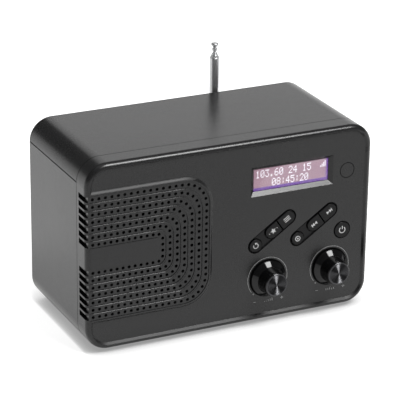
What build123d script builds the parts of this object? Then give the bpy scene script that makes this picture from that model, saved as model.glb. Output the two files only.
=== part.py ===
from build123d import *
import math
import os

# Tabletop radio in millimetres: +X to its right, +Z up, the front faces -Y.
# The origin is under the middle of the whole object, on the surface it stands on.
# "Depth" is counted from the front rim backwards, and heights on the front from the cabinet's middle.

# Cabinet
cab_w = 180.0
cab_h = 112.6
cab_d = 86.0
corner_r = 13.8
wall = 2.4
rear_wall = 2.4
front_d = 13.4
rim_w = 2.8
rim_round = 3.2
panel_recess = 1.3
panel_t = 2.2
rim_slope = 42.0
top_cover_h = 13.9
rear_round = 2.0
seam_w = 0.4
side_seam_w = 0.7
seam_deep = 0.8
back_chamfer = 0.3
lip_t = 1.2
lip_h = 3.0
fit_gap = 0.05
part_gap = 0.3

# Feet and screws
foot_r = 6.0
foot_h = 2.0
foot_sink = 0.8
foot_inset = 15.0
foot_edge = 1.2
foot_round = 0.5
screw_r = 1.5
screw_head_r = 2.8
cross_l = 3.4
cross_w = 0.85
cross_deep = 0.6
post_r = 3.5
post_inset = 10.2
screw_grip = 9.0

# Grille: seven U-shaped rows of holes, open to the left
ring_count = 7
ring_pitch = 4.52
inner_ring_h = 8.49
inner_ring_reach = 42.7
inner_ring_r = 3.75
ring_r_step = 1.74
inner_holes = 28
holes_step = 4
hole_r = 0.95
blind_depth = 1.9
open_r = 29.0
grille_left = 4.0
grille_up = 0.8
ridge_w = 0.6
channel_depth = 0.4
pad_margin = 2.4
pad_slope_w = 2.2
pad_facets = 6
slot_h = 3.2
slot_back = 10.6
slot_notch = 1.4
cloth_t = 0.5
cloth_margin = 1.4

# Display
window_w = 53.0
window_h = 18.0
window_right = 51.2
window_top = 25.8
window_slope = 45.0
lens_t = 1.0
lens_lap = 4.2
glass_t = 2.0
glass_lap = 2.6
light_t = 3.6
lcd_wall = 1.6

# Round sensor window
sensor_r = 4.4
sensor_right = 15.4
sensor_top = 27.6
sensor_lap = 1.0
sensor_gap = 0.35

# Keys
key_r = 3.9
key_gap = 0.6
key_proud = 0.45
key_travel = 0.6
key_edge = 0.4
key_flange = 0.8
key_flange_t = 1.2
key_stem_r = 1.7
pocket_depth = 0.6
row_tilt = 34.3
row_length = 25.5
row_drop = 9.0
first_row_right = 74.1
second_row_right = 46.8
middle_start = 12.4
divider_at = 18.5
power_r = 4.9
power_right = 17.4
power_drop = 8.4
switch_w = 6.0
switch_h = 3.5
plunger_r = 1.6
plunger_h = 5.0

# Knobs and their shafts
knob_base_r = 11.0
knob_edge_h = 1.0
flare_r = 7.2
flare_h = 2.3
boss_r = 6.75
boss_h = 12.0
disc_t = 0.6
disc_inset = 0.2
disc_edge = 0.2
knob_lift = 0.4
knob_cap = 2.0
knob_round = 0.35
flare_round = 0.8
knob_up = 25.8
volume_right = 65.8
tune_right = 24.9
shaft_r = 3.0
shaft_flat = 0.9
shaft_hole_gap = 0.6
bearing_gap = 0.05
rotary_w = 12.0
rotary_t = 5.5
bushing_r = 4.5
bushing_h = 2.2
shaft_grip = 4.4

# Control board behind the front panel
board_front = 12.0
board_t = 1.6
board_margin_x = 6.0
board_margin_z = 15.3
board_left = 1.8
board_post_r = 3.0
board_post_in = 3.8

# Loudspeaker
speaker_x = 42.3
frame_r = 36.0
gasket_w = 2.5
frame_front = 8.0
frame_t = 1.4
cone_r = 26.5
coil_r = 7.5
coil_wall = 0.3
cone_depth = 12.4
cone_t = 0.8
basket_deep = 16.6
basket_t = 1.2
basket_windows = 4
surround_w = 4.6
surround_flat = 1.8
dust_cap_r = 10.5
cap_t = 0.4
cap_rise = 3.0
spider_t = 0.6
ear_x = 24.0
ear_z = 41.0
ear_r = 4.0
ear_bar = 16.4
plate_r = 20.0
plate_t = 3.0
magnet_r = 22.5
magnet_t = 8.0
pole_gap = 0.7
small_screw_r = 1.2
small_head_r = 2.4
small_head_h = 1.4

# Battery compartment in the back
cell_r = 7.25
cell_l = 50.5
cell_count = 4
cell_gap = 0.35
cell_nub_r = 2.75
cell_nub_h = 1.0
tray_wall = 1.6
tray_slack = 7.0
tray_left = 20.0
tray_low = -36.0
contact_t = 0.5
contact_bump = 2.0
door_pin_r = 0.6
door_pin_l = 5.0
notch_r = 7.0
grip_count = 3
grip_in = 3.5
grip_pitch = 2.3
grip_w = 0.9
grip_deep = 0.6

# Main board, sockets and tuner on the cabinet's floor
main_w = 66.0
main_l = 36.0
main_clear = 4.3
main_lift = 6.0
main_back = 3.0
main_post_r = 3.0
tuner_w = 22.0
tuner_l = 16.0
tuner_h = 5.0
tuner_in = 8.0
tuner_round = 0.5
jack_in = 12.0
jack_r = 1.8
jack_w = 8.0
inlet_in = 26.0
inlet_w = 9.2
inlet_h = 3.4
inlet_l = 8.0
inlet_wall = 0.5
tongue_w = 6.6
tongue_t = 0.8
ribbon_in = 26.0
ribbon_w = 16.0
ribbon_t = 0.8
ribbon_bend = 6.0

# Telescopic antenna
ant_right = 57.5
ant_off = 6.5
ant_rise = 28.2
tube_r = 2.6
tube_wall = 0.4
tube_l = 88.0
tube_play = 0.05
section_count = 4
section_step = 0.9
mount_r = 6.0
mount_t = 2.2
swivel_r = 2.5
washer_r = 5.0
washer_t = 1.0
ear_t = 1.6
ear_round = 3.6
knuckle_w = 3.2
knuckle_r = 3.3
knuckle_side = 0.1
pivot_r = 1.0
neck_h = 5.2
neck_w = 4.7
collar_r = 3.0
collar_h = 1.8
spigot_h = 6.0
tip_r = 2.2
tip_h = 1.3
tip_round = 0.8
tip_cone_h = 1.2
tip_neck = 0.9
tip_neck_r = 1.1
tip_bead_h = 1.3
tip_bead_r = 1.6

# Worked out from the above
panel_back = panel_recess + panel_t
knob_reach = boss_h - panel_recess
rear_reach = ant_off + ear_round
rim_y = -(cab_d + rear_reach - knob_reach) / 2
rear_y = rim_y + cab_d
mid_z = foot_h + cab_h / 2
half_w = cab_w / 2
half_h = cab_h / 2
seam_z = half_h - top_cover_h
first_hole_x = -half_w + grille_left
inside_w = cab_w - 2 * wall
inside_h = cab_h - 2 * wall
inside_r = corner_r - wall
key_front = panel_recess - key_proud
flange_front = panel_back + fit_gap
switch_tip = board_front - plunger_h
board_back = board_front + board_t
window_x = half_w - window_right
window_z = half_h - window_top
sensor_x = half_w - sensor_right
sensor_z = half_h - sensor_top
volume_x = half_w - volume_right
tune_x = half_w - tune_right
knob_z = -half_h + knob_up
driver_x = -half_w + speaker_x
driver_z = grille_up
post_x = half_w - post_inset
post_z = half_h - post_inset
overrun = 20.0

os.makedirs("parts", exist_ok=True)


def front_plane(depth, x=0.0, z=0.0, turn=0.0):
    along = (math.cos(math.radians(turn)), 0, math.sin(math.radians(turn)))
    return Plane(origin=(x, rim_y + depth, mid_z + z), x_dir=along, z_dir=(0, -1, 0))


def turning_plane(x, z):
    # Local x is the radius and local y the depth behind the rim, for shapes turned about Y.
    return Plane(origin=(x, rim_y, mid_z + z), x_dir=(1, 0, 0), z_dir=(0, 0, 1))


def turning_axis(x, z):
    return Axis((x, rim_y, mid_z + z), (0, 1, 0))


def turned(x, z, outlines):
    with BuildPart() as piece:
        for outline in outlines:
            with BuildSketch(turning_plane(x, z)):
                with BuildLine():
                    Polyline(*outline, close=True)
                make_face()
            revolve(axis=turning_axis(x, z))
    return piece.part


def save(part, label):
    part.label = label
    export_step(part, f"parts/{label}.step")


def ring_size(m):
    reach = first_hole_x + inner_ring_reach + m * ring_pitch
    return reach, inner_ring_h + m * ring_pitch, inner_ring_r + m * ring_r_step


def tongue(right, tall, radius, mode=Mode.ADD):
    # A bar from beyond the left side to x = right, with its right corners rounded.
    left = -half_w - overrun
    with Locations(((left + right) / 2, grille_up)):
        RectangleRounded(right - left, 2 * tall, radius, mode=mode)


def hole_places(m):
    reach, tall, radius = ring_size(m)
    high = grille_up + tall
    low = grille_up - tall
    corners = ((first_hole_x, high), (reach, high), (reach, low), (first_hole_x, low))
    track = FilletPolyline(*corners, radius=radius)
    count = inner_holes + m * holes_step
    return [track @ (k / (count - 1)) for k in range(count)]


def is_open(place):
    # Only the holes before the loudspeaker go through, those round it are blind.
    return math.hypot(place.X - driver_x, place.Y - driver_z) < open_r


def pad_rise(share):
    return panel_recess * (1 - math.cos(math.pi * share)) / 2


def seam_ring():
    # The outer skin of the cabinet's outline, cut away to leave a dark line along a seam
    RectangleRounded(cab_w, cab_h, corner_r)
    RectangleRounded(cab_w - 2 * seam_deep, cab_h - 2 * seam_deep, corner_r - seam_deep, mode=Mode.SUBTRACT)


def key_rows():
    return ((half_w - first_row_right, -row_drop), (half_w - second_row_right, -row_drop))


def board_posts():
    left = board_left + board_post_in
    right = half_w - board_margin_x - board_post_in
    high = half_h - board_margin_z - board_post_in
    return [(x, z) for x in (left, right) for z in (-high, high)]


def speaker_ears():
    return [(driver_x + sx * ear_x, driver_z + sz * ear_z) for sx in (-1, 1) for sz in (-1, 1)]


def cabinet_posts():
    return [(sx * post_x, sz * post_z) for sx in (-1, 1) for sz in (-1, 1)]


def key_outline(kind, grow=0.0):
    # Drawn along a key row: its first end is at 0 and its last at row_length.
    radius = key_r + grow
    if kind == "round":
        Circle(radius)
    elif kind == "middle":
        end = divider_at - key_gap / 2
        with Locations((middle_start, 0)):
            Circle(radius)
        with Locations(((middle_start + end) / 2, 0)):
            Rectangle(end - middle_start, 2 * radius)
        with Locations((end + radius, 0)):
            Rectangle(2 * radius, 3 * radius, mode=Mode.SUBTRACT)
    else:
        start = divider_at + key_gap / 2
        with Locations((row_length, 0)):
            Circle(radius)
        with Locations(((start + row_length) / 2, 0)):
            Rectangle(row_length - start, 2 * radius)
        with Locations((start - radius, 0)):
            Rectangle(2 * radius, 3 * radius, mode=Mode.SUBTRACT)


def stem_place(kind):
    places = {
        "round": 0.0,
        "middle": (middle_start - key_r + divider_at) / 2,
        "last": (divider_at + row_length + key_r) / 2,
    }
    return places[kind]


# Front cabinet: rim, sunken panel, raised grille pad, openings and inner posts
grille_holes = [place for m in range(ring_count) for place in hole_places(m)]
with BuildPart() as recess_tool:
    with BuildSketch(front_plane(0)):
        RectangleRounded(cab_w - 2 * rim_w, cab_h - 2 * rim_w, corner_r - rim_w)
    extrude(amount=-panel_recess, taper=rim_slope)
    outer_reach, outer_tall, outer_r = ring_size(ring_count - 1)
    # The pad's sides rise in a soft S from the panel to the rim's level
    pad_run = pad_slope_w / pad_facets
    for k in range(pad_facets):
        low = pad_rise(k / pad_facets)
        rise = pad_rise((k + 1) / pad_facets) - low
        out = pad_margin + pad_slope_w - k * pad_run
        with BuildSketch(front_plane(panel_recess - low)):
            tongue(outer_reach + out, outer_tall + out, outer_r + out)
        extrude(amount=rise, taper=math.degrees(math.atan2(pad_run, rise)), mode=Mode.SUBTRACT)

with BuildPart() as front_cabinet:
    with BuildSketch(front_plane(0)):
        RectangleRounded(cab_w, cab_h, corner_r)
    extrude(amount=-front_d)
    fillet(front_cabinet.faces().sort_by(Axis.Y)[0].edges(), rim_round)
    with BuildSketch(front_plane(panel_back)):
        RectangleRounded(inside_w, inside_h, inside_r)
    extrude(amount=-(front_d - panel_back), mode=Mode.SUBTRACT)
    add(recess_tool.part, mode=Mode.SUBTRACT)
    # Grille channels, then the holes in them, then the slots that wrap onto the left side
    with BuildSketch(front_plane(0)):
        for m in reversed(range(ring_count)):
            reach, tall, radius = ring_size(m)
            half_channel = (ring_pitch - ridge_w) / 2
            tongue(reach + half_channel, tall + half_channel, radius + half_channel)
            tongue(reach - half_channel, tall - half_channel, radius - half_channel, Mode.SUBTRACT)
    extrude(amount=-channel_depth, mode=Mode.SUBTRACT)
    with BuildSketch(front_plane(0)):
        with Locations(*[place for place in grille_holes if is_open(place)]):
            Circle(hole_r)
    extrude(amount=-panel_back, mode=Mode.SUBTRACT)
    with BuildSketch(front_plane(0)):
        with Locations(*[place for place in grille_holes if not is_open(place)]):
            Circle(hole_r)
    extrude(amount=-blind_depth, mode=Mode.SUBTRACT)
    slot_heights = [side * ring_size(m)[1] for m in range(ring_count) for side in (-1, 1)]
    slot_rows = [(-half_w, grille_up + height) for height in slot_heights]
    with BuildSketch(front_plane(-overrun)):
        with Locations(*slot_rows):
            Rectangle(2 * slot_notch, slot_h)
    extrude(amount=-(overrun + slot_back), mode=Mode.SUBTRACT)
    with BuildSketch(front_plane(panel_back)):
        with Locations(*slot_rows):
            Rectangle(2 * (wall + part_gap), slot_h)
    extrude(amount=-(slot_back - panel_back), mode=Mode.SUBTRACT)
    # Display window with mitred sides
    with BuildSketch(front_plane(panel_recess)):
        with Locations((window_x, window_z)):
            Rectangle(window_w, window_h)
    extrude(amount=-panel_t, taper=window_slope, mode=Mode.SUBTRACT)
    # Round openings: sensor window, power key and the two shafts
    with BuildSketch(front_plane(0)):
        with Locations((sensor_x, sensor_z)):
            Circle(sensor_r + sensor_gap)
        with Locations((half_w - power_right, -power_drop)):
            Circle(power_r + key_gap)
        with Locations((volume_x, knob_z), (tune_x, knob_z)):
            Circle(shaft_r + shaft_hole_gap)
    extrude(amount=-panel_back, mode=Mode.SUBTRACT)
    # Two slanted key rows: a shallow pocket, with a round and a long opening through it
    for row_x, row_z in key_rows():
        with BuildSketch(front_plane(0, row_x, row_z, row_tilt)):
            with Locations((row_length / 2, 0)):
                SlotCenterToCenter(row_length, 2 * (key_r + key_gap))
        extrude(amount=-(panel_recess + pocket_depth), mode=Mode.SUBTRACT)
        with BuildSketch(front_plane(0, row_x, row_z, row_tilt)):
            Circle(key_r + key_gap)
            with Locations(((middle_start + row_length) / 2, 0)):
                SlotCenterToCenter(row_length - middle_start, 2 * (key_r + key_gap))
        extrude(amount=-panel_back, mode=Mode.SUBTRACT)
    # Posts for the control board, the loudspeaker and the long screws from the back
    with BuildSketch(front_plane(panel_back)):
        with Locations(*board_posts()):
            Circle(board_post_r)
    extrude(amount=-(board_front - panel_back))
    with BuildSketch(front_plane(panel_back)):
        with Locations(*speaker_ears()):
            Circle(ear_r - part_gap)
    extrude(amount=-(frame_front - panel_back))
    with BuildSketch(front_plane(panel_back)):
        with Locations(*cabinet_posts()):
            Circle(post_r)
    extrude(amount=-(cab_d - rear_wall - panel_back))
    with BuildSketch(front_plane(panel_back)):
        with Locations(*board_posts(), *speaker_ears()):
            Circle(small_screw_r + fit_gap)
    extrude(amount=-(board_front - panel_back), mode=Mode.SUBTRACT)
    with BuildSketch(front_plane(cab_d - rear_wall)):
        with Locations(*cabinet_posts()):
            Circle(screw_r + fit_gap)
    extrude(amount=screw_grip + screw_r, mode=Mode.SUBTRACT)
save(front_cabinet.part, "front_cabinet")

# Top cover: the roof with its two rounded corners, down to the seams on the sides
cover_d = cab_d - rear_wall - front_d
with BuildPart() as top_cover:
    with BuildSketch(front_plane(front_d)):
        RectangleRounded(cab_w, cab_h, corner_r)
    extrude(amount=-cover_d)
    chamfer(top_cover.faces().sort_by(Axis.Y)[-1].edges(), back_chamfer)
    with BuildSketch(front_plane(front_d)):
        seam_ring()
    extrude(amount=-seam_w, mode=Mode.SUBTRACT)
    with BuildSketch(front_plane(front_d)):
        RectangleRounded(inside_w, inside_h, inside_r)
    extrude(amount=-cover_d, mode=Mode.SUBTRACT)
    split(bisect_by=Plane.XY.offset(mid_z + seam_z), keep=Keep.TOP)
    lip_x = half_w - wall - fit_gap - lip_t / 2
    with BuildSketch(front_plane(front_d + lip_h)):
        with Locations((-lip_x, seam_z - lip_h / 2), (lip_x, seam_z - lip_h / 2)):
            Rectangle(lip_t, lip_h)
        root_x = lip_x + fit_gap / 2
        with Locations((-root_x, seam_z + lip_h / 2), (root_x, seam_z + lip_h / 2)):
            Rectangle(lip_t + fit_gap, lip_h)
    extrude(amount=-(cover_d - 2 * lip_h))
    with BuildSketch(front_plane(front_d)):
        with Locations((-half_w, seam_z), (half_w, seam_z)):
            Rectangle(2 * seam_deep, 2 * side_seam_w)
    extrude(amount=-cover_d, mode=Mode.SUBTRACT)
save(top_cover.part, "top_cover")

# Rear cabinet: sides, floor and back, with the battery tray, bosses and openings
tray_w = cell_l + tray_slack
tray_h = cell_count * (2 * cell_r + cell_gap) + cell_gap
tray_d = 2 * cell_r + 2 * cell_gap
tray_x = -half_w + tray_left + tray_w / 2
tray_z = tray_low + tray_h / 2
floor_z = -half_h + wall
main_z = floor_z + main_lift
main_right = post_x - post_r - main_clear
main_x = main_right - main_w / 2
jack_x = main_right - jack_in
inlet_x = main_right - inlet_in
ribbon_x = main_right - ribbon_in
main_depth = cab_d - rear_wall - main_back - main_l / 2
main_top = main_z + board_t
jack_z = main_top + jack_w / 2
inlet_z = main_top + inlet_h / 2 + inlet_wall
ant_x = half_w - ant_right
knuckle_rise = neck_h + collar_h
tip_grip = tip_bead_h + tip_neck + tip_cone_h / 2
tip_above = section_count * section_step + tip_bead_h + tip_neck + tip_cone_h + tip_h
pivot_z = half_h + ant_rise - (knuckle_rise + tube_l + tip_above)
door_axis_z = tray_z - tray_h / 2 + part_gap + rear_wall / 2
door_axis_depth = cab_d - rear_wall / 2


def main_posts():
    in_x = main_w / 2 - main_post_r - part_gap
    in_d = main_l / 2 - main_post_r - part_gap
    return [(main_x + sx * in_x, rim_y + main_depth + sy * in_d) for sx in (-1, 1) for sy in (-1, 1)]


def foot_places():
    front = rim_y + front_d + foot_r + foot_edge
    back = rear_y - foot_inset
    return [(sx * (half_w - foot_inset), y) for sx in (-1, 1) for y in (front, back)]


with BuildPart() as rear_cabinet:
    with BuildSketch(front_plane(front_d)):
        RectangleRounded(cab_w, cab_h, corner_r)
    extrude(amount=-(cab_d - front_d))
    fillet(rear_cabinet.faces().sort_by(Axis.Y)[-1].edges(), rear_round)
    with BuildSketch(front_plane(front_d)):
        seam_ring()
    extrude(amount=-seam_w, mode=Mode.SUBTRACT)
    with BuildSketch(front_plane(front_d)):
        RectangleRounded(inside_w, inside_h, inside_r)
    extrude(amount=-cover_d, mode=Mode.SUBTRACT)
    with BuildSketch(front_plane(front_d)):
        with Locations((0, seam_z + cab_h / 2)):
            Rectangle(2 * cab_w, cab_h)
    extrude(amount=-cover_d, mode=Mode.SUBTRACT)
    with BuildSketch(front_plane(cab_d - rear_wall)):
        with Locations((tray_x, tray_z)):
            Rectangle(tray_w + 2 * tray_wall, tray_h + 2 * tray_wall)
    extrude(amount=tray_d + tray_wall)
    with BuildSketch(front_plane(cab_d)):
        with Locations((tray_x, tray_z)):
            Rectangle(tray_w, tray_h)
    extrude(amount=rear_wall + tray_d, mode=Mode.SUBTRACT)
    with BuildSketch(front_plane(cab_d, tray_x, tray_z + tray_h / 2)):
        Circle(notch_r)
        with Locations((0, -notch_r)):
            Rectangle(2 * notch_r, 2 * notch_r, mode=Mode.SUBTRACT)
    extrude(amount=rear_wall / 2, mode=Mode.SUBTRACT)
    with BuildSketch(Plane.YZ.offset(tray_x - tray_w / 2)):
        with Locations((rim_y + door_axis_depth, mid_z + door_axis_z)):
            Circle(door_pin_r + fit_gap)
    extrude(amount=-door_pin_l / 2, mode=Mode.SUBTRACT)
    with BuildSketch(Plane.YZ.offset(tray_x + tray_w / 2)):
        with Locations((rim_y + door_axis_depth, mid_z + door_axis_z)):
            Circle(door_pin_r + fit_gap)
    extrude(amount=door_pin_l / 2, mode=Mode.SUBTRACT)
    # Bosses under the main board, with their screw holes
    with BuildSketch(Plane.XY.offset(mid_z + floor_z)):
        with Locations(*main_posts()):
            Circle(main_post_r)
    extrude(amount=main_lift)
    with BuildSketch(Plane.XY.offset(mid_z + main_z)):
        with Locations(*main_posts()):
            Circle(small_screw_r + fit_gap)
    extrude(amount=-(main_lift - wall / 2), mode=Mode.SUBTRACT)
    # Openings in the back: sockets, antenna pin and counterbored screws
    with BuildSketch(front_plane(cab_d)):
        with Locations((jack_x, jack_z)):
            Circle(jack_w / 2 + part_gap)
        with Locations((inlet_x, inlet_z)):
            SlotOverall(inlet_w + 2 * (inlet_wall + part_gap), inlet_h + 2 * (inlet_wall + part_gap))
        with Locations((ant_x, pivot_z)):
            Circle(swivel_r + bearing_gap)
        with Locations(*cabinet_posts()):
            Circle(screw_r + fit_gap)
    extrude(amount=rear_wall, mode=Mode.SUBTRACT)
    with BuildSketch(front_plane(cab_d)):
        with Locations(*cabinet_posts()):
            Circle(screw_head_r + part_gap)
    extrude(amount=rear_wall / 2, mode=Mode.SUBTRACT)
    # Seats for the feet
    with BuildSketch(Plane.XY.offset(foot_h)):
        with Locations(*foot_places()):
            Circle(foot_r + fit_gap)
    extrude(amount=foot_sink, mode=Mode.SUBTRACT)
save(rear_cabinet.part, "rear_cabinet")

with BuildPart() as rubber_feet:
    with BuildSketch(Plane.XY):
        with Locations(*foot_places()):
            Circle(foot_r)
    extrude(amount=foot_h + foot_sink)
    fillet(rubber_feet.edges().group_by(Axis.Z)[0], foot_round)
save(rubber_feet.part, "rubber_feet")

with BuildPart() as cabinet_screws:
    with BuildSketch(front_plane(cab_d - rear_wall / 2)):
        with Locations(*cabinet_posts()):
            Circle(screw_r)
    extrude(amount=rear_wall / 2 + screw_grip)
    with BuildSketch(front_plane(cab_d - rear_wall / 2)):
        with Locations(*cabinet_posts()):
            Circle(screw_head_r)
    extrude(amount=-rear_wall / 2)
    with BuildSketch(front_plane(cab_d)):
        with Locations(*cabinet_posts()):
            Rectangle(cross_l, cross_w)
            Rectangle(cross_w, cross_l)
    extrude(amount=cross_deep, mode=Mode.SUBTRACT)
save(cabinet_screws.part, "cabinet_screws")

# Cloth behind the grille, folded round behind the side slots
cloth_right = outer_reach + pad_margin
cloth_left = -half_w + wall + part_gap
cloth_tall = outer_tall + cloth_margin
with BuildPart() as grille_cloth:
    with BuildSketch(front_plane(panel_back)):
        with Locations(((cloth_left + cloth_right) / 2, grille_up)):
            Rectangle(cloth_right - cloth_left, 2 * cloth_tall)
    extrude(amount=-cloth_t)
    with BuildSketch(front_plane(panel_back)):
        with Locations((cloth_left + cloth_t / 2, grille_up)):
            Rectangle(cloth_t, 2 * cloth_tall)
    extrude(amount=-(front_d - panel_back))
save(grille_cloth.part, "grille_cloth")

# Loudspeaker
gasket_in = frame_r - gasket_w
gasket_front = panel_back + cloth_t
gasket = (
    (gasket_in, gasket_front),
    (frame_r, gasket_front),
    (frame_r, frame_front),
    (gasket_in, frame_front),
)
save(turned(driver_x, driver_z, (gasket,)), "speaker_gasket")

basket_open = cone_r + surround_w + part_gap
basket_front = frame_front + frame_t
basket_end = basket_front + basket_deep
basket_foot = coil_r + pole_gap + plate_t
basket_rim = plate_r - plate_t
with BuildPart() as speaker_basket:
    with BuildSketch(front_plane(frame_front)):
        with Locations((driver_x, driver_z)):
            Circle(frame_r)
        with Locations(*speaker_ears()):
            Circle(ear_r)
        bar_z = ear_z - ear_bar / 2
        with Locations(*[(x, driver_z + math.copysign(bar_z, z - driver_z)) for x, z in speaker_ears()]):
            Rectangle(2 * ear_r, ear_bar)
        with Locations((driver_x, driver_z)):
            Circle(basket_open, mode=Mode.SUBTRACT)
        with Locations(*speaker_ears()):
            Circle(small_screw_r + fit_gap, mode=Mode.SUBTRACT)
    extrude(amount=-frame_t)
    with BuildSketch(turning_plane(driver_x, driver_z)):
        with BuildLine():
            Polyline(
                (basket_open, frame_front),
                (basket_open + basket_t, frame_front),
                (basket_open + basket_t, basket_front),
                (basket_rim, basket_end),
                (basket_rim, basket_end + basket_t),
                (basket_foot, basket_end + basket_t),
                (basket_foot, basket_end),
                (basket_rim - basket_t, basket_end),
                (basket_open, basket_front),
                close=True,
            )
        make_face()
    revolve(axis=turning_axis(driver_x, driver_z))
    window_depth = basket_front + basket_deep / 2
    with Locations(Plane(origin=(driver_x, rim_y + window_depth, mid_z + driver_z), z_dir=(0, 1, 0))):
        window_reach = (basket_open + basket_rim) / 2
        with PolarLocations(window_reach, basket_windows, start_angle=180 / basket_windows):
            Box(basket_rim, basket_rim, basket_deep / 2, mode=Mode.SUBTRACT)
save(speaker_basket.part, "speaker_basket")

plate_front = basket_end + basket_t
plate_back = plate_front + plate_t
magnet_back = plate_back + magnet_t
pole_r = coil_r - coil_wall - pole_gap
gap_r = coil_r + pole_gap
ring_in = gap_r + plate_t
magnet_outline = (
    (0, plate_front),
    (pole_r, plate_front),
    (pole_r, magnet_back),
    (ring_in, magnet_back),
    (ring_in, plate_back),
    (gap_r, plate_back),
    (gap_r, plate_front),
    (plate_r, plate_front),
    (plate_r, plate_back),
    (magnet_r, plate_back),
    (magnet_r, magnet_back),
    (plate_r, magnet_back),
    (plate_r, magnet_back + plate_t),
    (0, magnet_back + plate_t),
)
save(turned(driver_x, driver_z, (magnet_outline,)), "speaker_magnet")

lip_front = frame_front - cone_t
cone_outline = (
    (cone_r, lip_front),
    (cone_r, frame_front),
    (coil_r + fit_gap, lip_front + cone_depth + cone_t),
    (coil_r + fit_gap, lip_front + cone_depth),
)
save(turned(driver_x, driver_z, (cone_outline,)), "speaker_cone")

coil_front = lip_front + cone_depth
coil_outline = (
    (coil_r - coil_wall, coil_front),
    (coil_r, coil_front),
    (coil_r, plate_back),
    (coil_r - coil_wall, plate_back),
)
save(turned(driver_x, driver_z, (coil_outline,)), "voice_coil")

spider_outline = (
    (coil_r + part_gap, basket_end - spider_t),
    (basket_rim - basket_t - part_gap - spider_t, basket_end - spider_t),
    (basket_rim - basket_t - part_gap - spider_t, basket_end),
    (coil_r + part_gap, basket_end),
)
save(turned(driver_x, driver_z, (spider_outline,)), "speaker_spider")

roll_in = cone_r + part_gap
roll_out = cone_r + surround_w
roll_mid = (roll_in + roll_out) / 2
roll_rise = surround_w / 2
with BuildPart() as speaker_surround:
    with BuildSketch(turning_plane(driver_x, driver_z)):
        with BuildLine():
            ThreePointArc(
                (roll_in + cone_t, frame_front),
                (roll_mid, frame_front - roll_rise + cone_t),
                (roll_out, frame_front),
            )
            Polyline(
                (roll_out, frame_front),
                (roll_out + surround_flat, frame_front),
                (roll_out + surround_flat, lip_front),
                (roll_out, lip_front),
            )
            ThreePointArc((roll_out, lip_front), (roll_mid, lip_front - roll_rise), (roll_in, lip_front))
            Polyline((roll_in, lip_front), (roll_in, frame_front), (roll_in + cone_t, frame_front))
        make_face()
    revolve(axis=turning_axis(driver_x, driver_z))
save(speaker_surround.part, "speaker_surround")

cap_edge = lip_front + (cone_r - dust_cap_r) / (cone_r - coil_r - fit_gap) * cone_depth - fit_gap
cap_ball = (dust_cap_r**2 + cap_rise**2) / (2 * cap_rise)
cap_middle = cap_edge - cap_rise + cap_ball
with BuildPart() as speaker_dust_cap:
    with Locations(Location((driver_x, rim_y + cap_middle, mid_z + driver_z))):
        Sphere(cap_ball)
        Sphere(cap_ball - cap_t, mode=Mode.SUBTRACT)
    split(bisect_by=Plane.XZ.offset(-rim_y - cap_edge), keep=Keep.TOP)
save(speaker_dust_cap.part, "speaker_dust_cap")

with BuildPart() as speaker_screws:
    with BuildSketch(front_plane(basket_front)):
        with Locations(*speaker_ears()):
            Circle(small_head_r)
    extrude(amount=-small_head_h)
    with BuildSketch(front_plane(basket_front)):
        with Locations(*speaker_ears()):
            Circle(small_screw_r)
    extrude(amount=basket_front - panel_back - fit_gap)
save(speaker_screws.part, "speaker_screws")

# Display: clear lens, glass, back light and the frame that holds them off the board
lens_back = panel_back + lens_t
glass_w = window_w + glass_lap
glass_h = window_h + glass_lap
with BuildPart() as display_lens:
    with BuildSketch(front_plane(panel_back, window_x, window_z)):
        Rectangle(window_w + lens_lap, window_h + lens_lap)
    extrude(amount=-lens_t)
save(display_lens.part, "display_lens")

with BuildPart() as lcd_panel:
    with BuildSketch(front_plane(lens_back, window_x, window_z)):
        Rectangle(glass_w, glass_h)
    extrude(amount=-glass_t)
save(lcd_panel.part, "lcd_panel")

glass_back = lens_back + glass_t
with BuildPart() as lcd_backlight:
    with BuildSketch(front_plane(glass_back, window_x, window_z)):
        Rectangle(glass_w, glass_h)
    extrude(amount=-light_t)
save(lcd_backlight.part, "lcd_backlight")

with BuildPart() as lcd_frame:
    with BuildSketch(front_plane(lens_back, window_x, window_z)):
        Rectangle(glass_w + 2 * (fit_gap + lcd_wall), glass_h + 2 * (fit_gap + lcd_wall))
    extrude(amount=-(board_front - lens_back))
    with BuildSketch(front_plane(lens_back, window_x, window_z)):
        Rectangle(glass_w + 2 * fit_gap, glass_h + 2 * fit_gap)
    extrude(amount=-(glass_t + light_t), mode=Mode.SUBTRACT)
save(lcd_frame.part, "lcd_frame")

with BuildPart() as sensor_window:
    with BuildSketch(front_plane(panel_recess, sensor_x, sensor_z)):
        Circle(sensor_r)
    extrude(amount=-panel_t)
    with BuildSketch(front_plane(panel_back, sensor_x, sensor_z)):
        Circle(sensor_r + sensor_lap)
    extrude(amount=-sensor_lap)
save(sensor_window.part, "sensor_window")

# Keys: a cap, a flange behind the panel and a stem towards its switch
key_names = {
    "mode_key": (0, "round"),
    "preset_key": (0, "middle"),
    "menu_key": (0, "last"),
    "select_key": (1, "round"),
    "previous_key": (1, "middle"),
    "next_key": (1, "last"),
}
stem_end = switch_tip - key_travel - fit_gap
flange_back = flange_front + key_flange_t


def build_key(row, kind):
    row_x, row_z = key_rows()[row]
    with BuildPart() as key:
        with BuildSketch(front_plane(key_front, row_x, row_z, row_tilt)):
            key_outline(kind)
        extrude(amount=-(flange_front - key_front))
        fillet(key.faces().sort_by(Axis.Y)[0].edges(), key_edge)
        with BuildSketch(front_plane(flange_front, row_x, row_z, row_tilt)):
            key_outline(kind, key_gap + key_flange)
        extrude(amount=-key_flange_t)
        with BuildSketch(front_plane(flange_back, row_x, row_z, row_tilt)):
            with Locations((stem_place(kind), 0)):
                Circle(key_stem_r)
        extrude(amount=-(stem_end - flange_back))
    return key.part


for name, (row, kind) in key_names.items():
    save(build_key(row, kind), name)

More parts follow.
